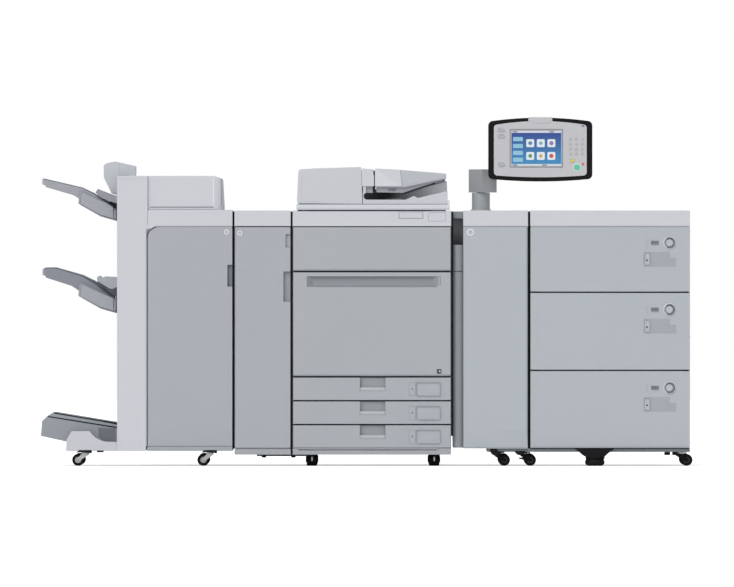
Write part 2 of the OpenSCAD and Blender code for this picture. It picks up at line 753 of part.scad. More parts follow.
// Top plate, swivel, and a fork whose sides hold the axle.
module caster_fork(r, top, w) {
    arm_t = 3;
    plate_t = 4;
    crown_z = top - 8;
    bridge_z = top - 14;
    swivel_r = 13;
    half = w / 2 + 1;
    back = caster_trail + 12;
    arm = concat([[back, crown_z], [r - 6, crown_z]], arc([0, r], 8, 100, 280, 10),
        [[back, bridge_z - 4]]);
    block(around(caster_trail, -26, 24), [-24, 24], [top - plate_t, top]);
    translate([caster_trail, 0, crown_z - 1]) cylinder(h = 6, r = swivel_r, $fn = 48);
    block([r + 2, back], [-half - arm_t, half + arm_t], [bridge_z, crown_z]);
    along_y(arm, [-half - arm_t, -half]);
    along_y(arm, [half, half + arm_t]);
    rod_y([-half - arm_t, half + arm_t], [0, r], axle_r);
}

module caster_forks() color(STEEL) placed()
    for (c = CASTERS) at_caster(c) caster_fork(c[1], c[2], c[4]);

module caster_wheels() color(BLACK) placed() for (c = CASTERS) at_caster(c) difference() {
    rod_y([-c[4] / 2, c[4] / 2], [0, c[1]], c[1], 64);
    rod_y([-c[4], c[4]], [0, c[1]], axle_r + 0.05);
}

// The middle foot under the deck's front edge: a tapering bracket with a round glide.
module deck_foot() color(BLACK) placed() {
    x = deck_x + 263;
    y = [3, 79];
    step_y = 12;
    neck = 33;
    glide_z = 34;
    along_y([[x - 61, deck_base_z], [x + 61, deck_base_z], [x + neck, glide_z],
        [x - neck, glide_z]], y);
    along_y([[x - 77, plinth_top], [x + 77, plinth_top], [x + 61, deck_base_z],
        [x - 61, deck_base_z]], [y[0], step_y]);
    translate([x, (y[0] + y[1]) / 2, 0]) rotate_extrude($fn = 96) polygon(concat(
        [[0, 0]], arc([24, 16], 16, -90, 75, 12), [[0, glide_z + 1]]));
    stub_z = 44;
    for (side = [-92, -60]) translate([deck_end + side, 40, stub_z])
        cylinder(h = deck_base_z - stub_z, r = 12, $fn = 48);
}

// ---- nodes ----

finisher_cabinet();
finisher_columns();
delivery_panels();
delivery_guides();
finisher_hood();
exit_head();
finisher_door();
upper_tray_carriage();
upper_tray_plate();
lower_tray_carriage();
lower_tray_plate();
booklet_tray();
booklet_outriggers();
buffer_cabinet();
buffer_door();
top_covers();
base_plinths();
power_inlets();
engine_core();
engine_panels();
drawer_rails();
reader_frame();
platen_glass();
toner_cover();
front_door();
cassette_1();
cassette_2();
cassette_3();
platen_lid();
feed_unit();
feeder_outlet();
feeder_cover();
document_tray();
pass_link();
pass_cabinet();
pass_door();
panel_mast();
mast_head();
panel_housing();
panel_face();
deck_panels();
deck_drawer_1();
deck_drawer_2();
deck_drawer_3();
deck_button_1();
deck_button_2();
deck_button_3();
deck_foot();
caster_forks();
caster_wheels();
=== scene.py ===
"""Digital production printer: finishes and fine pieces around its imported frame.

Every piece is placed from the boxes of the frame's nodes. X runs along the row, the fronts
look along -Y, Z is up, and all lengths are in metres.
"""

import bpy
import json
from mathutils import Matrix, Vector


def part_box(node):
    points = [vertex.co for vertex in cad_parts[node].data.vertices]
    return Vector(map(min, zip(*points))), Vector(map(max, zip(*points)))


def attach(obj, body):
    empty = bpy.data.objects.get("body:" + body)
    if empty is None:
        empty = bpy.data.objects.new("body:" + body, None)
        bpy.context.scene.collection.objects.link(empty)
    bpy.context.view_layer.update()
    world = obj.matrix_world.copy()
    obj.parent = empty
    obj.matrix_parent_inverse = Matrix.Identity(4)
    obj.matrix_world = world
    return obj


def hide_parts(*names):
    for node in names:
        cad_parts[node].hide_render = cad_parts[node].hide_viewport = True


bl_info = {
    "name": "Digital Production Printer",
    "version": (1, 0, 0),
    "blender": (4, 5, 0),
    "location": "View3D > Sidebar > Printer",
    "description": "Finishes the covers, trays, feeder, panel and deck of a production printer",
    "category": "Object",
}

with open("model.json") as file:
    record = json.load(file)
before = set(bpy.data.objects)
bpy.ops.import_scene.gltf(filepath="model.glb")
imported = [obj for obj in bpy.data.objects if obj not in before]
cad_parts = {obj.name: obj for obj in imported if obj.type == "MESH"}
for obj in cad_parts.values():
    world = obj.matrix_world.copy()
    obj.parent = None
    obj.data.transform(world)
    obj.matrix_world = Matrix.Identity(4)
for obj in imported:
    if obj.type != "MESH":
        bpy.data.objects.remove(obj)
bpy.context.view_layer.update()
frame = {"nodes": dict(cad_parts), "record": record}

import json
import math

import bmesh
import bpy
from bpy.props import FloatProperty, FloatVectorProperty, IntProperty, PointerProperty
from mathutils import Euler, Vector

MM = 0.001


# ---- driving sizes and colours ----

def srgb(red, green, blue):
    """A colour written in display values from 0 to 255, as linear values."""
    def linear(value):
        value /= 255
        return value / 12.92 if value <= 0.04045 else ((value + 0.055) / 1.055) ** 2.4
    return (linear(red), linear(green), linear(blue))


def length(name, description, default):
    """A property for a length in metres."""
    return FloatProperty(name=name, description=description, default=default, min=0.0,
        subtype="DISTANCE", unit="LENGTH")


def colour(name, description, default):
    """A property for a finish's colour."""
    return FloatVectorProperty(name=name, description=description, default=default, size=3,
        min=0.0, max=1.0, subtype="COLOR")


class PrinterSizes(bpy.types.PropertyGroup):
    """Sizes of the fine pieces."""
    cover_edge: length("Cover edge", "Radius on the edges of doors and drawer fronts", 2.5 * MM)
    band_edge: length("Band edge", "Radius on the edges of the pale bands and columns", 2.5 * MM)
    hood_edge: length("Hood edge", "Radius on the edges of the hood and the feeder", 7 * MM)
    badge_radius: length("Badge radius", "Radius of the blank badges on the doors", 11 * MM)
    screw_radius: length("Screw radius", "Radius of the panel screws' heads", 4 * MM)
    bevel_steps: IntProperty(name="Bevel steps", description="Segments on a rounded edge",
                             default=3, min=1, max=6)


class PrinterColours(bpy.types.PropertyGroup):
    """Colours of the finishes."""
    pale: colour("Pale covers", "Bands, columns, hood and feeder", srgb(204, 206, 212))
    door: colour("Finisher doors", "Doors of the finisher and the buffer unit",
                 srgb(171, 175, 181))
    engine: colour("Engine covers", "Covers and cassettes of the engine", srgb(172, 176, 181))
    deck: colour("Deck covers", "Pass unit and deck", srgb(178, 184, 189))
    base: colour("Base", "Plinths and link", srgb(147, 152, 157))
    tray: colour("Trays", "Stack trays", srgb(162, 165, 172))
    steel: colour("Steel", "Zinc plated bins, rails and forks", srgb(182, 184, 186))


def sizes():
    """The driving sizes."""
    return bpy.context.scene.printer_sizes


def colours():
    """The driving colours."""
    return bpy.context.scene.printer_colours


# ---- finishes ----

FINISHES = {}


def finish_nodes(name):
    """A new material with its nodes, a linker, its shader and an object-space pattern input."""
    material = bpy.data.materials.new(name)
    material.use_nodes = True
    nodes = material.node_tree.nodes
    coordinates = nodes.new("ShaderNodeTexCoord")
    return material, nodes, material.node_tree.links.new, nodes["Principled BSDF"], \
        coordinates.outputs["Object"]


def noise(nodes, link, where, scale, detail=2.0):
    """A noise pattern's value at a number of features a metre."""
    pattern = nodes.new("ShaderNodeTexNoise")
    pattern.inputs["Scale"].default_value = scale
    pattern.inputs["Detail"].default_value = detail
    link(where, pattern.inputs["Vector"])
    return pattern.outputs["Fac"]


def spread(nodes, link, value, low, high):
    """A pattern's value carried to a range."""
    ramp = nodes.new("ShaderNodeMapRange")
    ramp.inputs["From Min"].default_value = 0.3
    ramp.inputs["From Max"].default_value = 0.7
    ramp.inputs["To Min"].default_value = low
    ramp.inputs["To Max"].default_value = high
    link(value, ramp.inputs["Value"])
    return ramp.outputs["Result"]


def tint(nodes, link, factor, dark, light):
    """A colour between two, by a factor."""
    mix = nodes.new("ShaderNodeMix")
    mix.data_type = "RGBA"
    mix.inputs[6].default_value = (*dark, 1)
    mix.inputs[7].default_value = (*light, 1)
    link(factor, mix.inputs[0])
    return mix.outputs[2]


def relief(nodes, link, shader, height, depth, strength=1.0):
    """A bump of that depth in metres."""
    bump = nodes.new("ShaderNodeBump")
    bump.inputs["Strength"].default_value = strength
    bump.inputs["Distance"].default_value = depth
    link(height, bump.inputs["Height"])
    link(bump.outputs["Normal"], shader.inputs["Normal"])


def shaded(tone, amount):
    """A colour made lighter or darker by a share."""
    return tuple(min(1.0, channel * (1 + amount)) for channel in tone)


def moulded(name, tone, roughness=0.5, grain=0.00006, drift=0.02):
    """Moulded plastic: a spark-eroded grain, and a slow drift in shade and gloss."""
    if name in FINISHES:
        return FINISHES[name]
    material, nodes, link, shader, where = finish_nodes(name)
    slow = noise(nodes, link, where, 2.2, 3)
    link(tint(nodes, link, slow, shaded(tone, -drift), shaded(tone, drift)),
        shader.inputs["Base Color"])
    link(spread(nodes, link, noise(nodes, link, where, 14), roughness - 0.05, roughness + 0.05),
        shader.inputs["Roughness"])
    relief(nodes, link, shader, noise(nodes, link, where, 1400, 1), grain)
    shader.inputs["Specular IOR Level"].default_value = 0.4
    FINISHES[name] = material
    return material


def plated(name, tone, roughness=0.38):
    """Zinc plated sheet: drawn along X, with a faint spangle."""
    if name in FINISHES:
        return FINISHES[name]
    material, nodes, link, shader, where = finish_nodes(name)
    spangle = nodes.new("ShaderNodeTexVoronoi")
    spangle.inputs["Scale"].default_value = 160
    link(where, spangle.inputs["Vector"])
    link(tint(nodes, link, spangle.outputs["Distance"], shaded(tone, -0.12), tone),
        shader.inputs["Base Color"])
    stretch = nodes.new("ShaderNodeMapping")
    stretch.inputs["Scale"].default_value = (4, 160, 160)
    link(where, stretch.inputs["Vector"])
    drawn = noise(nodes, link, stretch.outputs["Vector"], 4, 2)
    link(spread(nodes, link, drawn, roughness - 0.08, roughness + 0.1), shader.inputs["Roughness"])
    relief(nodes, link, shader, drawn, 0.00004)
    shader.inputs["Metallic"].default_value = 0.9
    FINISHES[name] = material
    return material


def tyre_rubber(name, tone):
    """Hard wheel rubber, dusty at its tread."""
    if name in FINISHES:
        return FINISHES[name]
    material, nodes, link, shader, where = finish_nodes(name)
    dust = noise(nodes, link, where, 60, 4)
    link(tint(nodes, link, spread(nodes, link, dust, 0, 1), tone, shaded(tone, 1.1)),
        shader.inputs["Base Color"])
    link(spread(nodes, link, dust, 0.5, 0.75), shader.inputs["Roughness"])
    relief(nodes, link, shader, noise(nodes, link, where, 900, 1), 0.00008)
    shader.inputs["Specular IOR Level"].default_value = 0.12
    FINISHES[name] = material
    return material


def gloss(name, tone, roughness=0.16):
    """Glossy moulding with light handling marks."""
    if name in FINISHES:
        return FINISHES[name]
    material, nodes, link, shader, where = finish_nodes(name)
    marks = noise(nodes, link, where, 45, 5)
    link(tint(nodes, link, marks, shaded(tone, -0.06), shaded(tone, 0.06)),
        shader.inputs["Base Color"])
    link(spread(nodes, link, marks, roughness, roughness + 0.14), shader.inputs["Roughness"])
    relief(nodes, link, shader, noise(nodes, link, where, 700, 1), 0.00002)
    shader.inputs["Coat Weight"].default_value = 0.3
    FINISHES[name] = material
    return material


def satin(name, tone, roughness=0.45):
    """Dull black moulding or paint, with a fine orange peel and a little dust."""
    if name in FINISHES:
        return FINISHES[name]
    material, nodes, link, shader, where = finish_nodes(name)
    dust = noise(nodes, link, where, 30, 4)
    link(tint(nodes, link, spread(nodes, link, dust, 0, 1), tone, shaded(tone, 0.5)),
        shader.inputs["Base Color"])
    link(spread(nodes, link, dust, roughness, roughness + 0.12), shader.inputs["Roughness"])
    relief(nodes, link, shader, noise(nodes, link, where, 500, 2), 0.00005)
    shader.inputs["Specular IOR Level"].default_value = 0.12
    FINISHES[name] = material
    return material


def plate_glass(name):
    """The platen's glass over its dark well."""
    if name in FINISHES:
        return FINISHES[name]
    material, nodes, link, shader, where = finish_nodes(name)
    smear = noise(nodes, link, where, 18, 4)
    link(tint(nodes, link, smear, srgb(96, 112, 116), srgb(112, 127, 131)),
        shader.inputs["Base Color"])
    link(spread(nodes, link, smear, 0.03, 0.09), shader.inputs["Roughness"])
    shader.inputs["Coat Weight"].default_value = 1.0
    FINISHES[name] = material
    return material


def lit(name, low_tone, high_tone, glow=0.75, low_z=0.0, high_z=1.0):
    """A lit part of the screen, shading from one colour to another with height."""
    if name in FINISHES:
        return FINISHES[name]
    material, nodes, link, shader, where = finish_nodes(name)
    split = nodes.new("ShaderNodeSeparateXYZ")
    link(where, split.inputs["Vector"])
    ramp = nodes.new("ShaderNodeMapRange")
    ramp.inputs["From Min"].default_value = low_z
    ramp.inputs["From Max"].default_value = high_z
    link(split.outputs["Z"], ramp.inputs["Value"])
    tone = tint(nodes, link, ramp.outputs["Result"], low_tone, high_tone)
    link(tone, shader.inputs["Emission Color"])
    shader.inputs["Base Color"].default_value = (0.01, 0.01, 0.01, 1)
    shader.inputs["Emission Strength"].default_value = glow
    shader.inputs["Roughness"].default_value = 0.12
    FINISHES[name] = material
    return material


def faded(name, low_tone, high_tone, axis, span, glow=0.0):
    """Moulded plastic whose painted shade lifts along an axis between two places; a glow paints
    light.
    """
    if name in FINISHES:
        return FINISHES[name]
    material, nodes, link, shader, where = finish_nodes(name)
    split = nodes.new("ShaderNodeSeparateXYZ")
    link(where, split.inputs["Vector"])
    ramp = nodes.new("ShaderNodeMapRange")
    ramp.inputs["From Min"].default_value = at(span[0], span[0], span[0])[axis]
    ramp.inputs["From Max"].default_value = at(span[1], span[1], span[1])[axis]
    link(split.outputs[axis], ramp.inputs["Value"])
    share = ramp.outputs["Result"]
    link(tint(nodes, link, share, low_tone, high_tone), shader.inputs["Base Color"])
    link(spread(nodes, link, noise(nodes, link, where, 14), 0.5, 0.6), shader.inputs["Roughness"])
    relief(nodes, link, shader, noise(nodes, link, where, 1400, 1), 0.00006)
    if glow:
        link(tint(nodes, link, share, (0, 0, 0), high_tone), shader.inputs["Emission Color"])
        shader.inputs["Emission Strength"].default_value = glow
    FINISHES[name] = material
    return material


def pale():
    """The off-white of the bands, columns, hood and feeder."""
    return moulded("pale_cover", tuple(colours().pale), 0.46)


def door_grey():
    """The grey of the finisher's and the buffer unit's doors."""
    return moulded("door_grey", tuple(colours().door), 0.5)


def engine_grey():
    """The grey of the engine's covers."""
    return moulded("engine_grey", tuple(colours().engine), 0.5)


def deck_grey():
    """The grey of the pass unit and the deck."""
    return moulded("deck_grey", tuple(colours().deck), 0.5)


def base_grey():
    """The darker grey of plinths, link and mast."""
    return moulded("base_grey", tuple(colours().base), 0.45)


def tray_grey():
    """The grey of the stack trays."""
    return moulded("tray_grey", tuple(colours().tray), 0.52, 0.0001)


def carriage_grey():
    """The lighter grey of the tray carriages."""
    return moulded("carriage_grey", srgb(158, 161, 168), 0.5)


def lip_lightened_grey():
    """The lips that close the seams under bands and over plinths, in a light grey that offsets the
    shade in the seams: painted light.
    """
    return moulded("lip_lightened_grey", srgb(190, 193, 198), 0.6)


def seam_grey():
    """The soft grey of seams that are closed behind."""
    return moulded("seam_grey", srgb(132, 136, 142), 0.6)


def chassis_black():
    """Black paint on caster plates, brackets and the deck's foot."""
    return satin("chassis_black", srgb(17, 17, 19))


def dark():
    """Near-black plastic inside the machine."""
    return moulded("dark_plastic", srgb(44, 47, 51), 0.55, 0.0001, 0.08)


def black():
    """The panel's glossy black rim."""
    return satin("rim_black", srgb(15, 15, 17), 0.3)


def panel_grey():
    """The control panel's pale face."""
    return moulded("panel_grey", srgb(194, 194, 198), 0.4, 0.00003)


def zinc():
    """Plated steel of the bins, rails and forks."""
    return plated("zinc_steel", tuple(colours().steel))


def rubber():
    """The rubber of the casters' tyres."""
    return tyre_rubber("tyre_black", srgb(15, 15, 16))


# ---- modelling by hand ----

def clear_selection():
    """Leaves edit mode and deselects everything."""
    active = bpy.context.view_layer.objects.active
    if active and active.mode != "OBJECT":
        bpy.ops.object.mode_set(mode="OBJECT")
    bpy.ops.object.select_all(action="DESELECT")


def focus(piece):
    """Makes a piece the only selected and the active object."""
    clear_selection()
    piece.select_set(True)
    bpy.context.view_layer.objects.active = piece


def edit(piece, mode="FACE"):
    """Opens a piece in edit mode with nothing selected."""
    focus(piece)
    bpy.ops.object.mode_set(mode="EDIT")
    bpy.ops.mesh.select_mode(type=mode)
    bpy.ops.mesh.select_all(action="DESELECT")


def done():
    """Back to object mode."""
    bpy.ops.object.mode_set(mode="OBJECT")


def pick_faces(piece, test):
    """Selects the faces whose centre and normal pass a test. The piece is in edit mode."""
    mesh = bmesh.from_edit_mesh(piece.data)
    for face in mesh.faces:
        face.select_set(bool(test(face.calc_center_median(), face.normal)))
    mesh.select_flush(True)
    bmesh.update_edit_mesh(piece.data)


def pick_edges(piece, test):
    """Selects the edges whose two ends pass a test. The piece is in edit mode."""
    mesh = bmesh.from_edit_mesh(piece.data)
    for one in mesh.edges:
        one.select_set(bool(test(one.verts[0].co, one.verts[1].co)))
    mesh.select_flush(True)
    bmesh.update_edit_mesh(piece.data)


def named(name):
    """Names the new active object, with its place moved into its mesh."""
    piece = bpy.context.object
    piece.name = name
    piece.data.name = name
    bpy.ops.object.transform_apply(location=True, rotation=True, scale=True)
    return piece


def cube(name, low, high):
    """A cube primitive between two corners."""
    clear_selection()
    low, high = Vector(low), Vector(high)
    bpy.ops.mesh.primitive_cube_add(size=1, location=(low + high) / 2, scale=high - low)
    return named(name)


def round_edges(piece, width, steps=3, angle=30):
    """Rounds every sharp edge, and shades the piece so that its flats stay flat."""
    focus(piece)
    bevel = piece.modifiers.new("edge", "BEVEL")
    bevel.width = width
    bevel.segments = steps
    bevel.limit_method = "ANGLE"
    bevel.angle_limit = math.radians(angle)
    bpy.ops.object.modifier_apply(modifier=bevel.name)
    smooth(piece)
    return piece


def smooth(piece):
    """Smooth shading with normals weighted to the larger faces."""
    focus(piece)
    bpy.ops.object.shade_smooth_by_angle(angle=math.radians(50))
    weigh = piece.modifiers.new("weigh", "WEIGHTED_NORMAL")
    weigh.keep_sharp = True
    bpy.ops.object.modifier_apply(modifier=weigh.name)
    return piece


def plate(name, low, high, corner=0.0, edge=0.0004, axis=1, steps=5):
    """A plate whose corners are rounded about an axis, with softened edges."""
    piece = cube(name, low, high)
    if corner:
        edit(piece, "EDGE")
        pick_edges(piece, lambda a, b: abs(abs((a - b).normalized()[axis]) - 1) < 0.001)
        bpy.ops.mesh.bevel(offset=corner, segments=steps, affect="EDGES")
        done()
    return round_edges(piece, edge, 2)


def dish(piece, towards, inset, depth):
    """Insets the face that looks along a direction, and sinks it."""
    edit(piece)
    way = Vector(towards)
    pick_faces(piece, lambda centre, normal: normal.dot(way) > 0.99)
    bpy.ops.mesh.inset(thickness=inset, depth=-depth)
    done()
    return piece


def chain(name, points):
    """A line through points, drawn by extruding one vertex."""
    clear_selection()
    bpy.ops.mesh.primitive_plane_add(size=0.01, location=points[0])
    piece = named(name)
    edit(piece, "VERT")
    bpy.ops.mesh.select_all(action="SELECT")
    bpy.ops.mesh.merge(type="CENTER")
    for before, after in zip(points, points[1:]):
        step = Vector(after) - Vector(before)
        bpy.ops.mesh.extrude_vertices_move(TRANSFORM_OT_translate={"value": step})
    return piece


def prism(name, points, along, edge=0.0004, steps=2):
    """A closed outline filled and carried along a vector, with softened edges."""
    piece = chain(name, [Vector(point) for point in points])
    bpy.ops.mesh.select_all(action="SELECT")
    bpy.ops.mesh.edge_face_add()
    bpy.ops.mesh.extrude_region_move(TRANSFORM_OT_translate={"value": Vector(along)})
    bpy.ops.mesh.select_all(action="SELECT")
    bpy.ops.mesh.normals_make_consistent(inside=False)
    done()
    return round_edges(piece, edge, steps) if edge else smooth(piece)


def turned(name, profile, centre, axis="Y", steps=40):
    """A lathed piece. The profile is (radius, distance along the axis) from end to end."""
    centre = Vector(centre)
    out, way = {"X": (Vector((0, 0, 1)), Vector((1, 0, 0))),
        "Y": (Vector((1, 0, 0)), Vector((0, 1, 0))),
        "Z": (Vector((1, 0, 0)), Vector((0, 0, 1))),}[axis]
    piece = chain(name, [centre + out * radius + way * height for radius, height in profile])
    bpy.ops.mesh.select_all(action="SELECT")
    bpy.ops.mesh.spin(steps=steps, angle=math.tau, center=centre, axis=way)
    bpy.ops.mesh.select_all(action="SELECT")
    bpy.ops.mesh.remove_doubles(threshold=0.00001)
    bpy.ops.mesh.normals_make_consistent(inside=False)
    done()
    return smooth(piece)


def shifted_copy(piece, offset, name=None):
    """A copy with its own mesh, moved by an offset."""
    focus(piece)
    bpy.ops.object.duplicate()
    copy = bpy.context.object
    copy.location = Vector(offset)
    bpy.ops.object.transform_apply(location=True, rotation=True, scale=True)
    if name:
        copy.name = name
        copy.data.name = name
    return copy


def joined(pieces, name):
    """Several pieces as one mesh."""
    focus(pieces[0])
    for piece in pieces[1:]:
        piece.select_set(True)
    if len(pieces) > 1:
        bpy.ops.object.join()
    whole = bpy.context.object
    whole.name = name
    whole.data.name = name
    return whole


def repeated(piece, offsets, name):
    """The piece itself and its copies at the offsets, as one mesh."""
    return joined([piece] + [shifted_copy(piece, offset) for offset in offsets], name)


def fitted(piece, material, body):
    """Gives a piece its finish and the body that it rides on."""
    piece.data.materials.clear()
    piece.data.materials.append(material)
    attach(piece, body)
    return piece


BODY_OF = {
    node: body
    for body, members in frame["record"]["behaviour"]["bodies"].items() for node in members
}


def on_row(piece, material):
    """Fits a piece that stays with the cabinets."""
    return fitted(piece, material, "cabinets")


def on_panel(piece, material):
    """Fits a piece that rides on the control panel."""
    return fitted(piece, material, "control_panel")


def on_feeder(piece, material):
    """Fits a piece that rides on the document feeder."""
    return fitted(piece, material, "document_feeder")


def shell(node, material, edge, angle=30):
    """A node's own shape with its flats whole and its edges rounded. It stands for the node."""
    source = frame["nodes"][node]
    piece = source.copy()
    piece.data = source.data.copy()
    piece.name = node + "_shell"
    piece.data.name = piece.name
    piece.parent = None
    for key in [key for key in piece.keys() if key.startswith("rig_")]:
        del piece[key]
    bpy.context.scene.collection.objects.link(piece)
    edit(piece, "VERT")
    bpy.ops.mesh.select_all(action="SELECT")
    bpy.ops.mesh.remove_doubles(threshold=0.00002)
    bpy.ops.mesh.customdata_custom_splitnormals_clear()
    bpy.ops.mesh.dissolve_limited(angle_limit=math.radians(0.6))
    done()
    round_edges(piece, edge, sizes().bevel_steps, angle)
    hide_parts(node)
    return fitted(piece, material, BODY_OF[node])


def low(node):
    """A node's lowest corner."""
    return Vector(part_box(node)[0])


def high(node):
    """A node's highest corner."""
    return Vector(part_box(node)[1])


ROW = Vector((low("finisher_columns").x, low("finisher_door").y, 0))


def at(x, y, z):
    """A point given in millimetres from the finisher's front left foot."""
    return ROW + Vector((x, y, z)) * MM


def reach(node, axis):
    """A node's reach along an axis, in millimetres from the finisher's front left foot."""
    return (low(node)[axis] - ROW[axis]) / MM, (high(node)[axis] - ROW[axis]) / MM


FINISHER_X = reach("finisher_door", 0)
DOOR_CORNER = 47
HINGE_IN = 10
BUFFER_X = reach("buffer_door", 0)
ENGINE_X = reach("front_door", 0)
PASS_X = reach("pass_door", 0)
DECK_X = reach("deck_drawer_1", 0)
FRONT_T = reach("buffer_door", 1)[1]
BAND_Z = reach("top_covers", 2)[0]
CABINET_Z = reach("reader_frame", 2)[0] + 64
PANEL_X = sum(reach("panel_housing", 0)) / 2


def covered(node, material, edge):
    """A node's shell in its finish, with an edge radius in millimetres."""
    return shell(node, material, edge * MM)


def slab(name, x, y, z, corner=0.0, edge=0.4, axis=1):
    """A plate over three ranges in millimetres, its corners rounded about an axis."""
    return plate(name, at(x[0], y[0], z[0]), at(x[1], y[1], z[1]), corner * MM, edge * MM, axis)


def outline_y(name, points, y, edge=0.4):
    """An outline of X and Z in millimetres, carried between two depths."""
    return prism(name, [at(x, y[0], z) for x, z in points], (0, (y[1] - y[0]) * MM, 0), edge * MM)


def outline_x(name, points, x, edge=0.4):
    """An outline of Y and Z in millimetres, carried along the row."""
    return prism(name, [at(x[0], y, z) for y, z in points], ((x[1] - x[0]) * MM, 0, 0), edge * MM)


def lathed(name, profile, x, y, z, axis="Y", steps=40):
    """A lathed piece about a point, with its profile in millimetres."""
    return turned(name, [(r * MM, h * MM) for r, h in profile], at(x, y, z), axis, steps)


def painted_faces(piece, material, test):
    """Gives a second finish to the faces that pass a test, told in millimetres."""
    piece.data.materials.append(material)
    slot = len(piece.data.materials) - 1
    edit(piece)
    pick_faces(piece, lambda centre, normal: test(*((centre - ROW) / MM), normal))
    bpy.context.object.active_material_index = slot
    bpy.ops.object.material_slot_assign()
    done()
    return piece


def lined(piece, open_ways, wall=0.6, edge=0.3):
    """Makes a closed shape the liner of a recess: open towards some ways, walled elsewhere."""
    edit(piece)
    pick_faces(piece, lambda centre, normal: any(normal.dot(Vector(way)) > 0.9
                                                 for way in open_ways))
    bpy.ops.mesh.delete(type="FACE")
    bpy.ops.mesh.select_all(action="SELECT")
    bpy.ops.mesh.flip_normals()
    done()
    skin = piece.modifiers.new("wall", "SOLIDIFY")
    skin.thickness = wall * MM
    skin.offset = 1
    bpy.ops.object.modifier_apply(modifier=skin.name)
    edit(piece)
    bpy.ops.mesh.select_all(action="SELECT")
    bpy.ops.mesh.normals_make_consistent(inside=False)
    done()
    return round_edges(piece, edge * MM, 2, 40)


def recess(name, x, y, z, open_ways, wall=0.6):
    """A box-shaped liner that sits just inside a recess given in millimetres."""
    low_corner = at(x[0] + 0.2, y[0] + 0.3, z[0] + 0.2)
    high_corner = at(x[1] - 0.2, y[1] - 0.2, z[1] - 0.2)
    return lined(cube(name, low_corner, high_corner), open_ways, wall)


def frame_of(name, x, y, z, width, corner=2.0):
    """A flat rectangular rim over ranges in millimetres."""
    piece = slab(name, x, y, z, corner, 0.2)
    edit(piece)
    pick_faces(piece, lambda centre, normal: normal.y < -0.99)
    bpy.ops.mesh.inset(thickness=width * MM, depth=0)
    bpy.ops.transform.translate(value=(0, (y[1] - y[0]) * 0.7 * MM, 0))
    done()
    return piece


# ---- small fittings ----

BADGE = [(0, -0.9), (0.62, -0.9), (0.68, -1.6), (0.9, -1.6), (0.97, -1.1), (1, 0.5), (0, 0.5)]


def badge(name, x, z, body, share=1.0):
    """A blank round badge: a pale rim about a greyer middle."""
    y = reach("buffer_door", 1)[0]
    radius = sizes().badge_radius / MM * share
    profile = [(r * radius, h) for r, h in BADGE]
    piece = fitted(lathed(name, profile, x, y, z),
        moulded("badge_pale", srgb(222, 224, 228), 0.35), body)
    painted_faces(piece, moulded("badge_middle", srgb(180, 184, 190), 0.4), lambda px, py, pz,
        n: math.hypot(px - x, pz - z) < 0.6 * radius and py < y)
    return piece


def screws(name, places, way, body, material=None):
    """Pan heads with a socket, at places in millimetres, that stand out of a surface."""
    size = sizes().screw_radius / MM
    profile = [(0, 0.5), (size * 0.3, 0.5), (size * 0.36, 1.7), (size * 0.7, 1.9),
        (size * 0.95, 1.2), (size, 0), (size, -0.6), (0, -0.6)]
    profile = [(r, h * way[1]) for r, h in profile]
    first = lathed(name, profile, *places[0], way[0], 16)
    offsets = [at(*place) - at(*places[0]) for place in places[1:]]
    return fitted(repeated(first, offsets, name), material or plated("screw_zinc",
                  srgb(168, 170, 172), 0.3), body)


def vent(name, x, z, rows, pitch, y, body, material):
    """A block of louvres in a rear cover: dark slots, each under a small hood."""
    slot = outline_x(name + "_slots", [(y - 0.4, z), (y + 0.5, z), (y + 0.5, z + 3.4),
        (y - 0.4, z + 3.4)], x, 0.2)
    hood = outline_x(name + "_hoods", [(y - 0.3, z + 3.2), (y + 2.6, z + 1.4), (y + 2.6, z + 2.2),
        (y + 0.6, z + 5), (y - 0.3, z + 5)], (x[0] - 1, x[1] + 1), 0.2)
    steps = [(0, 0, row * pitch * MM) for row in range(1, rows)]
    fitted(repeated(slot, steps, name + "_slots"), dark(), body)
    return fitted(repeated(hood, steps, name + "_hoods"), material, body)


def back_cover(name, x, z, y, material, body="cabinets"):
    """A sheet cover on the back, with a screw near each corner and between them."""
    fitted(slab(name, x, (y - 0.5, y + 1.4), z, 6, 0.6), material, body)
    rows = 3 if z[1] - z[0] > 500 else 2
    places = [(px, y + 1.4, z[0] + 12 + (z[1] - z[0] - 24) * row / (rows - 1))
              for px in (x[0] + 12, x[1] - 12) for row in range(rows)]
    screws(name + "_screws", places, ("Y", 1), body)


# ---- finisher ----

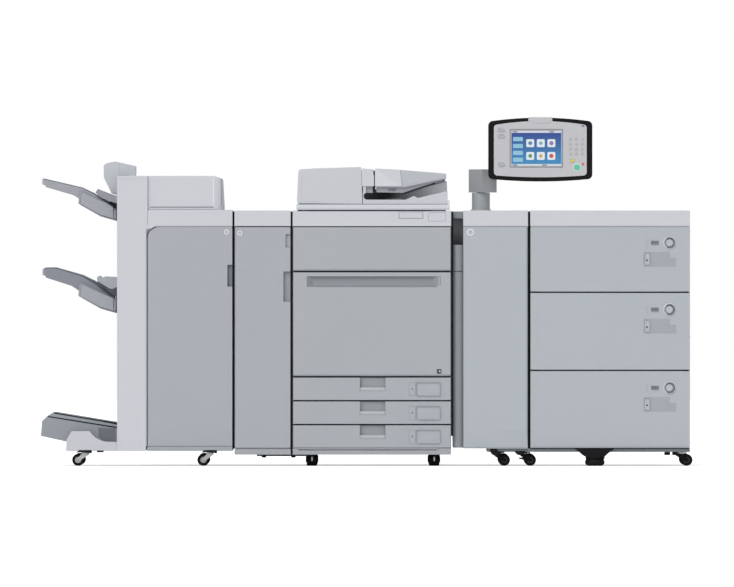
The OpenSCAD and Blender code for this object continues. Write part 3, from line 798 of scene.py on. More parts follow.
class PRINTER_OT_finisher(bpy.types.Operator):
    """Finishes the finisher's column, door, hood, exit head and delivery wall"""
    bl_idname = "printer.finisher"
    bl_label = "Finisher"

    def execute(self, context):
        covered("finisher_cabinet", pale(), 1.5)
        covered("finisher_columns", pale(), sizes().band_edge / MM)
        covered("delivery_panels", base_grey(), 1.5)
        guides = covered("delivery_guides", tray_grey(), 1.2)
        # The lower guides are painted a lighter grey than the upper ones: painted light.
        painted_faces(guides, moulded("guide_lit_pale", srgb(170, 173, 180), 0.52), lambda x, y, z,
            n: z < 900)
        covered("finisher_hood", pale(), sizes().hood_edge / MM)
        # The exit head is painted a little darker than the pale covers, as shade on its inclined
        # face.
        covered("exit_head", moulded("exit_shaded_grey", srgb(196, 198, 205), 0.5), 2)
        covered("finisher_door", door_grey(), sizes().cover_edge / MM)
        self.hood_details()
        self.door_details()
        self.door_surround()
        self.column_details()
        self.exit_rollers()
        self.throat_cheeks()
        return {"FINISHED"}

    def door_surround(self):
        """The frame about the door: its round corner, and the lips beside and over the door."""
        x, top = FINISHER_X, reach("finisher_door", 2)[1]
        column = reach("delivery_panels", 0)[0] + 118
        centre = (x[0] + DOOR_CORNER, top - DOOR_CORNER)
        radius = DOOR_CORNER + 5
        swing_top = 42  # the open door's corner swings through the frame below this height
        arc = [(centre[0] - radius * math.cos(math.radians(a)),
            centre[1] + radius * math.sin(math.radians(a))) for a in range(0, 78, 4)]
        inner = [point for point in arc if point[1] > centre[1] + swing_top]
        swing_x = x[0] - 4.8
        corner = [(column - 5, centre[1] - 6), (column + 0.9, centre[1] - 6)] + [
            point for point in arc if point[0] < swing_x] + [
            (swing_x, centre[1] + 5), (swing_x, centre[1] + swing_top),
            (centre[0] - math.sqrt(radius ** 2 - swing_top ** 2), centre[1] + swing_top)
        ] + inner + [(arc[-1][0], BAND_Z + 6), (column - 5, BAND_Z + 6)]
        parts = [outline_y("door_corner", corner, (-0.15, 27), 0.1)]
        for step in range(8, swing_top, 2):
            rise = (step, step + 2)
            edge = [centre[0] - math.sqrt(radius ** 2 - z ** 2) for z in rise]
            past_hinge = DOOR_CORNER - HINGE_IN - math.sqrt(DOOR_CORNER ** 2 - step ** 2)
            strip = [(swing_x - 0.4, centre[1] + step), (edge[0], centre[1] + step),
                (edge[1], centre[1] + step + 2), (swing_x - 0.4, centre[1] + step + 2)]
            parts.append(outline_y("corner_step", strip, (14.8 - past_hinge, 27), 0))
        on_row(joined(parts, "door_corner"), pale())
        foot = reach("finisher_door", 2)[0]
        on_row(slab("door_side_lip", (column - 0.5, column + 3), (2.4, 28),
            (foot, centre[1] + 0.5), 0, 0.8), lip_lightened_grey())
        on_row(slab("door_top_lip", (arc[-1][0] - 1, x[1]), (1, 30), (top + 0.4, BAND_Z - 1.2), 0,
            0.3), lip_lightened_grey())
        on_row(slab("door_foot_lip", (x[0], x[1]), (9, 31), (foot - 4.5, foot - 1), 0, 0.5),
            lip_lightened_grey())
        hood = reach("finisher_hood", 0)[0]
        on_row(slab("hood_side_lip", (hood - 1.2, hood + 0.4), (12, 60),
            (reach("finisher_hood", 2)[0], reach("finisher_hood", 2)[1] - 8), 0, 0.2), pale())

    def exit_rollers(self):
        """The roller shafts at the two stack outlets."""
        for name, z, radius in (("upper", 1075.5, 6.5), ("lower", 757, 7)):
            profile = [(0, 0), (3, 0)]
            for k in range(8):
                start = 12 + 46 * k
                profile += [(3, start), (radius - 1, start), (radius, start + 1),
                    (radius, start + 23), (radius - 1, start + 24), (3, start + 24)]
            profile += [(3, 376), (0, 376)]
            on_row(lathed(f"exit_rollers_{name}", profile, -9, 212, z, "Y", 24),
                satin("roller_black", srgb(28, 29, 31)))

    def throat_cheeks(self):
        """The cheeks at both ends of the stack outlets, with dark pieces under them painted as the
        throats' shade.
        """
        y = reach("delivery_panels", 1)
        spans = (("front", (185, 189.6)), ("rear", (y[1] - 189.6, y[1] - 185)))
        upper = [(-90, 1114), (-80, 1129), (-21, 1106), (0, 1100), (0, 1068), (-30, 1078),
            (-66, 1092)]
        upper_throat_shade = [(-42, 1080), (0, 1072), (0, 1046), (-12, 1050), (-30, 1063)]
        under = [(-82, 753), (-84, 769), (-72, 775), (-62, 766), (-50, 772), (0, 770), (0, 730),
            (-18, 721), (-32, 722)]
        under_throat_shade = [(-80, 752), (-32, 726), (0, 732), (0, 690), (-14, 692), (-60, 726),
            (-84, 742)]
        black_throat_shade = satin("throat_shade_black", srgb(22, 23, 25))
        grey_throat_shade = satin("throat_shade_grey", srgb(74, 77, 83))
        for end, (low_y, high_y) in spans:
            inner = (low_y + 0.8, high_y - 0.8)
            on_row(outline_y(f"upper_cheek_{end}", upper, (low_y, high_y), 0.9),
                moulded("cheek_grey", srgb(149, 152, 159), 0.52))
            on_row(outline_y(f"upper_throat_shade_{end}", upper_throat_shade, inner, 0.3), black_throat_shade)
            # The lower cheeks take the lower guides' lighter grey, which is painted light.
            on_row(outline_y(f"lower_cheek_{end}", under, (low_y, high_y), 0.9),
                moulded("guide_lit_pale", srgb(170, 173, 180), 0.52))
            on_row(outline_y(f"lower_throat_shade_{end}", under_throat_shade, inner, 0.3), grey_throat_shade)

    def hood_details(self):
        """The flange that the hood stands on and the groove above it."""
        x = (reach("finisher_hood", 0)[0] + 0.5, 396)
        z = reach("finisher_hood", 2)[0]
        y = reach("finisher_hood", 1)
        on_row(slab("hood_flange", x, (y[0] - 2, y[1] + 2), (z, z + 9), 5, 1.2, 2), pale())
        on_row(slab("hood_groove", (x[0] + 4, x[1] - 1), (y[0] - 0.6, y[1] + 0.6),
            (z + 8.6, z + 12.4), 4, 0.3, 2), moulded("groove_and_shade_grey", srgb(128, 131, 137), 0.6))

    def door_details(self):
        """The liner of the pull, the badge, and the plain inner panel."""
        x, z = FINISHER_X, reach("finisher_door", 2)
        pull = recess("finisher_pull", (x[1] - 20, x[1]), (0, 13), (730, 819),
            [(0, -1, 0), (1, 0, 0)])
        fitted(pull, moulded("finisher_pull_grey", srgb(118, 122, 128), 0.55), "finisher_door")
        badge("finisher_badge", x[1] - 23, 952, "finisher_door")
        fitted(dish(slab("finisher_door_inside", (x[0] + 26, x[1] - 26),
            (FRONT_T - 0.5, FRONT_T + 1.6), (z[0] + 30, z[1] - 60), 12, 0.6), (0, 1, 0), 14 * MM,
            1.2 * MM), door_grey(), "finisher_door")
        on_row(dish(slab("finisher_inner_cover", (x[0] + 14, x[1] - 10), (29, 33),
            (z[0] + 20, z[1] - 20), 14, 0.8), (0, -1, 0), 16 * MM, 1.5 * MM),
            moulded("inner_grey", srgb(112, 116, 121), 0.55))

    def column_details(self):
        """The seams near the column's head, a painted highlight and a painted shade line on the
        hood's end, and the slots that the trays ride in.
        """
        head_z = reach("finisher_columns", 2)[1]
        x = reach("finisher_columns", 0)
        y = reach("finisher_columns", 1)
        panel_y = reach("delivery_panels", 1)
        seam = moulded("soft_seam", srgb(168, 170, 176), 0.6)
        on_row(slab("column_seam", (x[0] + 2, x[1] - 8), (y[0] - 0.25, y[0] + 1),
            (head_z - 13, head_z - 12), 0, 0.1), seam)
        head = reach("exit_head", 1)[0], reach("exit_head", 2)[1]
        on_row(slab("exit_seam", (6.4, 7.8), (head[0] - 0.3, head[0] + 1),
            (head_z + 2, head[1] - 5), 0, 0.1), seam)
        # A pale strip where the hood's front turns into its rounded end is a painted highlight.
        highlight_strip = slab("hood_highlight_strip", (FINISHER_X[1] - 79, FINISHER_X[1] - 75),
            (reach("finisher_hood", 1)[0] - 0.7, reach("finisher_hood", 1)[0] + 2),
            (reach("finisher_hood", 2)[0] + 14, head_z - 4), 0, 0.7)
        on_row(highlight_strip, moulded("highlight_strip_pale", srgb(226, 228, 231), 0.35))
        # A grey line on the rounded end, near its far side, is painted shade.
        hood = reach("finisher_hood", 0)[1]
        on_row(slab("hood_end_shade_line", (hood - 11.5, hood - 8.5), (21, 26),
            (reach("finisher_hood", 2)[0] + 16, head_z - 12), 0, 0.3),
            moulded("groove_and_shade_grey", srgb(128, 131, 137), 0.6))
        low_z, high_z = reach("delivery_panels", 2)
        for name, middle in (("front", panel_y[0] - 12.5), ("rear", panel_y[1] + 12.5)):
            on_row(slab(f"tray_rack_{name}", (43.5, 45.4), (middle - 9, middle + 9),
                (low_z + 160, high_z - 20), 2, 0.3, 0), zinc())
            tooth = slab(f"rack_teeth_{name}", (41.5, 44), (middle - 4, middle + 4),
                (low_z + 170, low_z + 176), 0, 0.4)
            steps = [(0, 0, 12 * MM * k) for k in range(1, 76)]
            on_row(repeated(tooth, steps, f"rack_teeth_{name}"), zinc())


class PRINTER_OT_trays(bpy.types.Operator):
    """Finishes the two stack trays and the booklet tray"""
    bl_idname = "printer.trays"
    bl_label = "Trays"

    def execute(self, context):
        for node in ("upper_tray_carriage", "lower_tray_carriage"):
            covered(node, carriage_grey(), 1.6)
        covered("upper_tray_plate", tray_grey(), 2.2)
        covered("lower_tray_plate", moulded("tray_shade", srgb(137, 140, 149), 0.52), 2.2)
        booklet = covered("booklet_tray", moulded("booklet_grey", srgb(152, 157, 163), 0.52), 1.5)
        painted_faces(booklet, moulded("booklet_top", srgb(84, 88, 94), 0.5), lambda x, y, z,
            n: n.z > 0.8)
        covered("booklet_outriggers", moulded("outrigger_pale", srgb(199, 201, 207), 0.46), 1.5)
        upper = [(-300, 1170.4), (-144, 1134), (-102, 1114), (-20, 1068.4)]
        under = [(-296, 807), (-252, 808), (-143, 777), (-93, 753), (-20, 710.6)]
        self.ribs("upper_ribs", upper, "upper_stack_tray")
        self.ribs("lower_ribs", under, "lower_stack_tray")
        self.edges("upper", upper, (2.6, 2.8, 3.4, 12), "upper_stack_tray")
        self.edges("lower", under, (3, 3.4, 6, 13, 24), "lower_stack_tray")
        self.tips()
        self.brushes()
        self.wall_plates()
        self.booklet_details()
        return {"FINISHED"}

    def edges(self, name, top, depths, body):
        """A dark strip along a tray's upper side, painted shade."""
        y = reach("upper_tray_plate", 1)
        lower_line = [(x, z - depth) for (x, z), depth in zip(top, depths)]
        strip = [(x, z - 0.4) for x, z in top] + list(reversed(lower_line))
        tone = moulded("edge_shade_grey", srgb(88, 92, 99), 0.55)
        for side, span in (("front", (y[0] - 0.3, y[0] + 1)), ("rear", (y[1] - 1, y[1] + 0.3))):
            fitted(outline_y(f"{name}_edge_{side}", strip, span, 0.2), tone, body)

    def tips(self):
        """The lighter end cap of each tray, with a dark pad under it."""
        y = reach("upper_tray_plate", 1)
        for name, body, z in (("upper", "upper_stack_tray", (1147.5, 1171)),
                              ("lower", "lower_stack_tray", (777.5, 801))):
            end = reach(f"{name}_tray_plate", 0)[0]
            cap = slab(f"{name}_tip", (end - 1.2, end + 5.5), (y[0] - 0.8, y[1] + 0.8), z, 0, 1.2)
            fitted(cap, moulded("tip_grey", srgb(190, 192, 199), 0.5), body)
            low_z = z[0] - 8
            pad = [(end + 12, low_z + 4), (end + 28, low_z - 1.4), (end + 27, low_z - 6.4),
                (end + 14, low_z - 2.6)]
            fitted(outline_y(f"{name}_tip_pad", pad, (y[0] + 6, y[1] - 6), 0.8),
                satin("roller_black", srgb(28, 29, 31)), body)

    def brushes(self):
        """Dark strips painted as the shade in the gap between each tray and the delivery wall."""
        for name, z in (("upper", (1000, 1060)), ("lower", (624, 702))):
            y = reach(f"{name}_tray_carriage", 1)
            strip = slab(f"{name}_brush", (-6.6, -1), (y[0] + 1, y[1] - 1), z, 0, 0.5)
            fitted(strip, satin("wall_gap_shade_grey", srgb(84, 87, 93)), f"{name}_stack_tray")

    def wall_plates(self):
        """A raised plate on the outside of each carriage wall."""
        wall = [(-140, 119), (-150, 108), (-154, 66), (-62, 14), (0, -4), (0, 54), (-95, 97)]
        for name, body in (("upper", "upper_stack_tray"), ("lower", "lower_stack_tray")):
            node = f"{name}_tray_carriage"
            y, z = reach(node, 1), reach(node, 2)[0] + 4
            points = [(-6 - 85 + (px + 85) * 0.86, z + 62 + (pz - 62) * 0.84) for px, pz in wall]
            for side, span in (("front", (y[0] - 1.4, y[0] + 0.5)),
                               ("rear", (y[1] - 0.5, y[1] + 1.4))):
                piece = outline_y(f"{name}_wall_plate_{side}", points, span, 0.9)
                fitted(piece, moulded("wall_grey", srgb(165, 168, 175), 0.5), body)

    def ribs(self, name, top, body):
        """Low ribs along a tray that the sheets slide on."""
        width = reach("upper_tray_plate", 1)
        first = width[0] + 30
        lower_line = [(x, z - 1.5) for x, z in reversed(top)]
        upper_line = [(x, z + 1.4) for x, z in top]
        rib = outline_y(name, upper_line + lower_line, (first, first + 3), 0.5)
        pitch = (width[1] - width[0] - 63) / 7
        steps = [(0, pitch * k * MM, 0) for k in range(1, 8)]
        fitted(repeated(rib, steps, name), tray_grey(), body)

    def booklet_details(self):
        """The dark channel under the booklet tray's deck, and its inner wall."""
        tray = reach("booklet_tray", 1)
        dark_line = satin("line_black", srgb(26, 28, 31))
        upper = [(-258, 217), (-1, 174.8), (-1, 167), (-70, 180.6), (-258, 212)]
        lower = [(-284, 202.8), (-1, 158), (-1, 152.4), (-284, 198)]
        for side, y in (("front", (tray[0] - 0.4, tray[0] + 1)),
                        ("rear", (tray[1] - 1, tray[1] + 0.4))):
            for name, line in (("upper", upper), ("lower", lower)):
                on_row(outline_y(f"booklet_{name}_line_{side}", line, y, 0.2), dark_line)
            # The pocket's darker grey is painted shade in a recess.
            pocket = [(-78, 155), (-8, 152), (-8, 100), (-60, 101), (-78, 118)]
            on_row(outline_y(f"booklet_pocket_{side}", pocket, y, 0.3),
                moulded("pocket_shade_grey", srgb(118, 122, 129), 0.55))
        rib = outline_y("booklet_ribs", [(-252, 218.4), (-4, 177.2), (-4, 174), (-252, 215)],
            (tray[0] + 40, tray[0] + 43), 0.5)
        pitch = (tray[1] - tray[0] - 83) / 6
        on_row(repeated(rib, [(0, pitch * k * MM, 0) for k in range(1, 7)], "booklet_ribs"),
            tray_grey())


# ---- buffer unit and pass unit ----

class PRINTER_OT_narrow_units(bpy.types.Operator):
    """Finishes the buffer unit, the link and the pass unit"""
    bl_idname = "printer.narrow_units"
    bl_label = "Buffer and Pass Units"

    def execute(self, context):
        covered("buffer_cabinet", door_grey(), 1.5)
        covered("buffer_door", door_grey(), sizes().cover_edge / MM)
        link_piece = covered("pass_link", base_grey(), 1)
        painted_faces(link_piece, moulded("link_top", srgb(134, 139, 144), 0.45), lambda x, y, z,
            n: z > 1006)
        covered("pass_cabinet", deck_grey(), 1.5)
        covered("pass_door", deck_grey(), sizes().cover_edge / MM)
        x = BUFFER_X
        pull = recess("buffer_pull", (x[1] - 28, x[1]), (0, 13), (669, 791),
            [(0, -1, 0), (1, 0, 0)])
        fitted(pull, moulded("buffer_pull_grey", srgb(150, 154, 160), 0.55), "buffer_door")
        catch = recess("buffer_catch", (x[1] - 19, x[1]), (0, 9), (890, 943),
            [(0, -1, 0), (1, 0, 0)])
        fitted(catch, moulded("catch_grey", srgb(167, 171, 176), 0.45), "buffer_door")
        badge("buffer_badge", x[0] + 21, 948, "buffer_door")
        badge("pass_badge", PASS_X[0] + 29, 951, "pass_door", 1.4)
        for name, span, node, body, material in (
                ("buffer", BUFFER_X, "buffer_door", "buffer_door", door_grey()),
                ("pass", PASS_X, "pass_door", "pass_door", deck_grey())):
            z = reach(node, 2)
            inside = slab(f"{name}_door_inside", (span[0] + 22, span[1] - 34),
                (FRONT_T - 0.5, FRONT_T + 1.6), (z[0] + 30, z[1] - 30), 10, 0.6)
            fitted(dish(inside, (0, 1, 0), 12 * MM, 1.2 * MM), material, body)
            inner = slab(f"{name}_inner_cover", (span[0] + 12, span[1] - 12), (29, 33),
                (z[0] + 20, z[1] - 20), 12, 0.8)
            on_row(dish(inner, (0, -1, 0), 14 * MM, 1.5 * MM),
                moulded("inner_grey", srgb(112, 116, 121), 0.55))
        lip = slab("pass_top_lip", (PASS_X[0] + 1, PASS_X[1] - 1), (1, 30),
            (reach("pass_door", 2)[1] + 0.4, BAND_Z - 1.2), 0, 0.3)
        on_row(lip, lip_lightened_grey())
        foot = slab("pass_foot_lip", (PASS_X[0] + 1, PASS_X[1] - 1), (3, 31),
            (reach("pass_door", 2)[0] - 3, reach("pass_door", 2)[0] - 0.8), 0, 0.3)
        on_row(foot, lip_lightened_grey())
        foot = slab("buffer_foot_lip", (BUFFER_X[0] + 1, BUFFER_X[1] - 1), (4, 31),
            (reach("buffer_door", 2)[0] - 2.8, reach("buffer_door", 2)[0] - 0.4), 0, 0.3)
        on_row(foot, lip_lightened_grey())
        link = reach("pass_link", 0)
        bay = recess("link_bay", (link[0] + 0.3, link[1] - 0.3), (60, 99.6), (900.5, 1007.5),
            [(0, -1, 0)], 1)
        # The bay's grey is painted shade, darkest at its foot.
        on_row(bay, faded("bay_shade", srgb(84, 86, 90), srgb(156, 158, 163), 2, (905, 980)))
        for side in link:
            middle = side + (0.8 if side == link[0] else -0.8)
            on_row(slab(f"link_rib_{round(side)}", (middle - 0.8, middle + 0.8), (46, 62),
                (reach("pass_link", 2)[0] + 2, 898), 0, 0.3), base_grey())
        return {"FINISHED"}


# ---- print engine ----

class PRINTER_OT_engine(bpy.types.Operator):
    """Finishes the engine's covers, grip, cassettes and reader"""
    bl_idname = "printer.engine"
    bl_label = "Engine"

    def execute(self, context):
        covered("engine_core", dark(), 1)
        covered("engine_panels", engine_grey(), 1.2)
        covered("drawer_rails", zinc(), 0.8)
        covered("reader_frame", pale(), sizes().cover_edge / MM)
        covered("platen_glass", plate_glass("platen_glass_clear"), 0.4)
        covered("toner_cover", engine_grey(), sizes().cover_edge / MM)
        covered("front_door", engine_grey(), sizes().cover_edge / MM)
        covered("power_inlets", dark(), 0.6)
        self.grip()
        self.inner_faces()
        self.reader_details()
        for k in (1, 2, 3):
            self.cassette(k)
        return {"FINISHED"}

    def grip(self):
        """The long grip's liner, and the seam of its end cap."""
        x = (ENGINE_X[0] + 57, ENGINE_X[0] + 586)
        profile = [(0.3, 728.4), (12.8, 736.3), (14.8, 740.2), (14.8, 771.8), (0.3, 771.8)]
        grip = outline_x("door_grip", profile, (x[0] + 0.2, x[1] - 0.2), 0)
        edit(grip, "VERT")
        mesh = bmesh.from_edit_mesh(grip.data)
        middle = at(sum(x) / 2, 0, 0).x
        for vertex in mesh.verts:
            if vertex.co.y > at(0, 6, 0).y:
                vertex.co.x += 22 * MM if vertex.co.x < middle else -22 * MM
        bmesh.update_edit_mesh(grip.data)
        done()
        fitted(lined(grip, [(0, -1, 0)]), moulded("grip_grey", srgb(146, 150, 155), 0.5),
            "front_door")
        cap = frame_of("grip_cap_line", (x[1] + 3, x[1] + 14), (-0.3, 0.4), (738, 771), 0.8, 1.5)
        fitted(cap, seam_grey(), "front_door")
        mark = slab("door_plate_mark", (ENGINE_X[0] + 593, ENGINE_X[0] + 600), (-1, -0.3),
            (383, 388), 1, 0.2)
        fitted(mark, moulded("badge_pale", srgb(222, 224, 228), 0.35), "front_door")
        fitted(slab("door_plate", (ENGINE_X[0] + 585, ENGINE_X[0] + 603), (-0.7, 0.3), (376, 394),
            2, 0.3), gloss("plate_dark", srgb(58, 61, 66), 0.25), "front_door")

    def inner_faces(self):
        """Plain inner sides of the two hinged covers and of the bay behind them."""
        for name, node in (("toner", "toner_cover"), ("front", "front_door")):
            z = reach(node, 2)
            inside = slab(f"{name}_inside", (ENGINE_X[0] + 20, ENGINE_X[1] - 20),
                (FRONT_T - 0.5, FRONT_T + 1.8), (z[0] + 24, z[1] - 16), 10, 0.6)
            fitted(dish(inside, (0, 1, 0), 14 * MM, 1.4 * MM), engine_grey(), node)
            bay = slab(f"{name}_bay", (ENGINE_X[0] + 12, ENGINE_X[1] - 12), (29.5, 33),
                (z[0] + 10, z[1] - 8), 12, 0.8)
            on_row(dish(bay, (0, -1, 0), 16 * MM, 1.6 * MM),
                moulded("inner_grey", srgb(112, 116, 121), 0.55))

    def reader_details(self):
        """The small covers in the reader's front band, and the rim about the glass."""
        x = reach("reader_frame", 0)
        on_row(slab("reader_cover_well", (x[0] + 432.3, x[0] + 530.7), (2.2, 2.9),
            (1007.3, 1033.7), 0, 0.1), moulded("well_dark", srgb(86, 90, 96), 0.6))
        card = dish(slab("reader_cover", (x[0] + 433.5, x[0] + 529.5), (0.6, 3.2), (1008.5, 1033),
            1.5, 0.5), (0, -1, 0), 2 * MM, 0.3 * MM)
        on_row(card, pale())
        label = dish(slab("reader_label", (x[0] + 552.6, x[0] + 622.4), (0.8, 2.2),
            (996.6, 1031.4), 2, 0.3), (0, -1, 0), 1.5 * MM, 0.25 * MM)
        on_row(label, pale())
        glass = reach("platen_glass", 0), reach("platen_glass", 1)
        rim = moulded("rim_pale", srgb(226, 228, 231), 0.4)
        on_row(slab("glass_scale", (glass[0][0] - 14, glass[0][0] - 1), glass[1], (1039.4, 1040.6),
            0, 0.3), rim)
        on_row(slab("reader_strip_glass", (glass[0][0] - 46, glass[0][0] - 24), glass[1],
            (1039.4, 1040.5), 2, 0.3, 2), plate_glass("platen_glass_clear"))
        on_row(slab("glass_back_scale", (glass[0][0] - 14, glass[0][1] + 2),
            (glass[1][1] + 1, glass[1][1] + 13), (1039.4, 1040.6), 0, 0.3), rim)

    def cassette(self, k):
        """One cassette: grey front, plated tray, pull liner, label pads and a lift plate."""
        node = f"cassette_{k}"
        piece = covered(node, engine_grey(), 1.2)
        painted_faces(piece, zinc(), lambda x, y, z, n: y > FRONT_T + 0.05)
        z = reach(node, 2)
        top = z[1]
        x = (ENGINE_X[0] + 272, ENGINE_X[0] + 375)
        profile = [(0.3, top - 54.6), (13.8, top - 40.8), (15.8, top - 37.8), (15.8, top - 0.4),
            (0.3, top - 0.4)]
        pull = outline_x(f"cassette_pull_{k}", profile, (x[0] + 0.2, x[1] - 0.2), 0)
        pull = lined(pull, [(0, -1, 0), (0, 0, 1)])
        fitted(pull, moulded("pull_grey", srgb(154, 159, 164), 0.5), node)
        # The liner's right wall is painted darker: painted shade.
        painted_faces(pull, moulded("pull_wall_shade", srgb(106, 110, 116), 0.5), lambda px, py, pz,
            n: px > x[1] - 4)
        lip = [(-0.2, top - 54.4), (-1.6, top - 51), (-1.8, top - 46), (0, top - 41.4),
            (4, top - 39), (13.4, top - 40.4)]
        roll = outline_x(f"cassette_lip_{k}", lip, (x[0] + 1, x[1] - 1), 1.4)
        fitted(roll, moulded("lip_pale", srgb(180, 184, 189), 0.4), node)
        pads = moulded("label_grey", srgb(175, 179, 185), 0.45)
        pad = dish(slab(f"cassette_mark_{k}", (ENGINE_X[0] + 472, ENGINE_X[0] + 498), (-0.6, 0.3),
            (top - 73, top - 20), 2, 0.3), (0, -1, 0), 1.2 * MM, 0.25 * MM)
        fitted(pad, pads, node)
        area = slab(f"cassette_label_{k}", (ENGINE_X[0] + 500.6, ENGINE_X[0] + 598.4),
            (-0.12, 0.3), (top - 73.4, top - 19.6), 6, 0.1)
        fitted(area, pads, node)
        fitted(slab(f"cassette_dot_{k}", (ENGINE_X[0] + 483, ENGINE_X[0] + 487), (-0.7, 0),
            (top - 50, top - 41), 1.9, 0.2), moulded("mark_grey", srgb(120, 124, 130), 0.5), node)
        tray = reach(node, 0), reach(node, 1)
        lift = slab(f"cassette_lift_{k}", (tray[0][0] + 26, tray[0][1] - 26),
            (FRONT_T + 12, FRONT_T + 300), (z[0] + 7, z[0] + 8.4), 10, 0.4, 2)
        fitted(lift, plated("lift_steel", srgb(160, 162, 165)), node)
        guide = slab(f"cassette_guides_{k}", (tray[0][0] + 60, tray[0][0] + 120),
            (FRONT_T + 60, FRONT_T + 64), (z[0] + 6.4, z[0] + 62), 5, 0.6)
        far_side = (0, 300 * MM, 0)
        fitted(repeated(guide, [far_side], f"cassette_guides_{k}"), base_grey(), node)


# ---- document feeder ----

def hollow_cover(name, points, y, open_test, radius, wall):
    """A cover moulded as one skin: a rounded outline, open where the test says."""
    piece = prism(name, [at(x, y[0], z) for x, z in points], (0, (y[1] - y[0]) * MM, 0), 0)
    edit(piece)
    pick_faces(piece, open_test)
    bpy.ops.mesh.delete(type="FACE")
    done()
    round_edges(piece, radius * MM, 5, 20)
    skin = piece.modifiers.new("wall", "SOLIDIFY")
    skin.thickness = wall * MM
    skin.offset = -1
    bpy.ops.object.modifier_apply(modifier=skin.name)
    return smooth(piece)


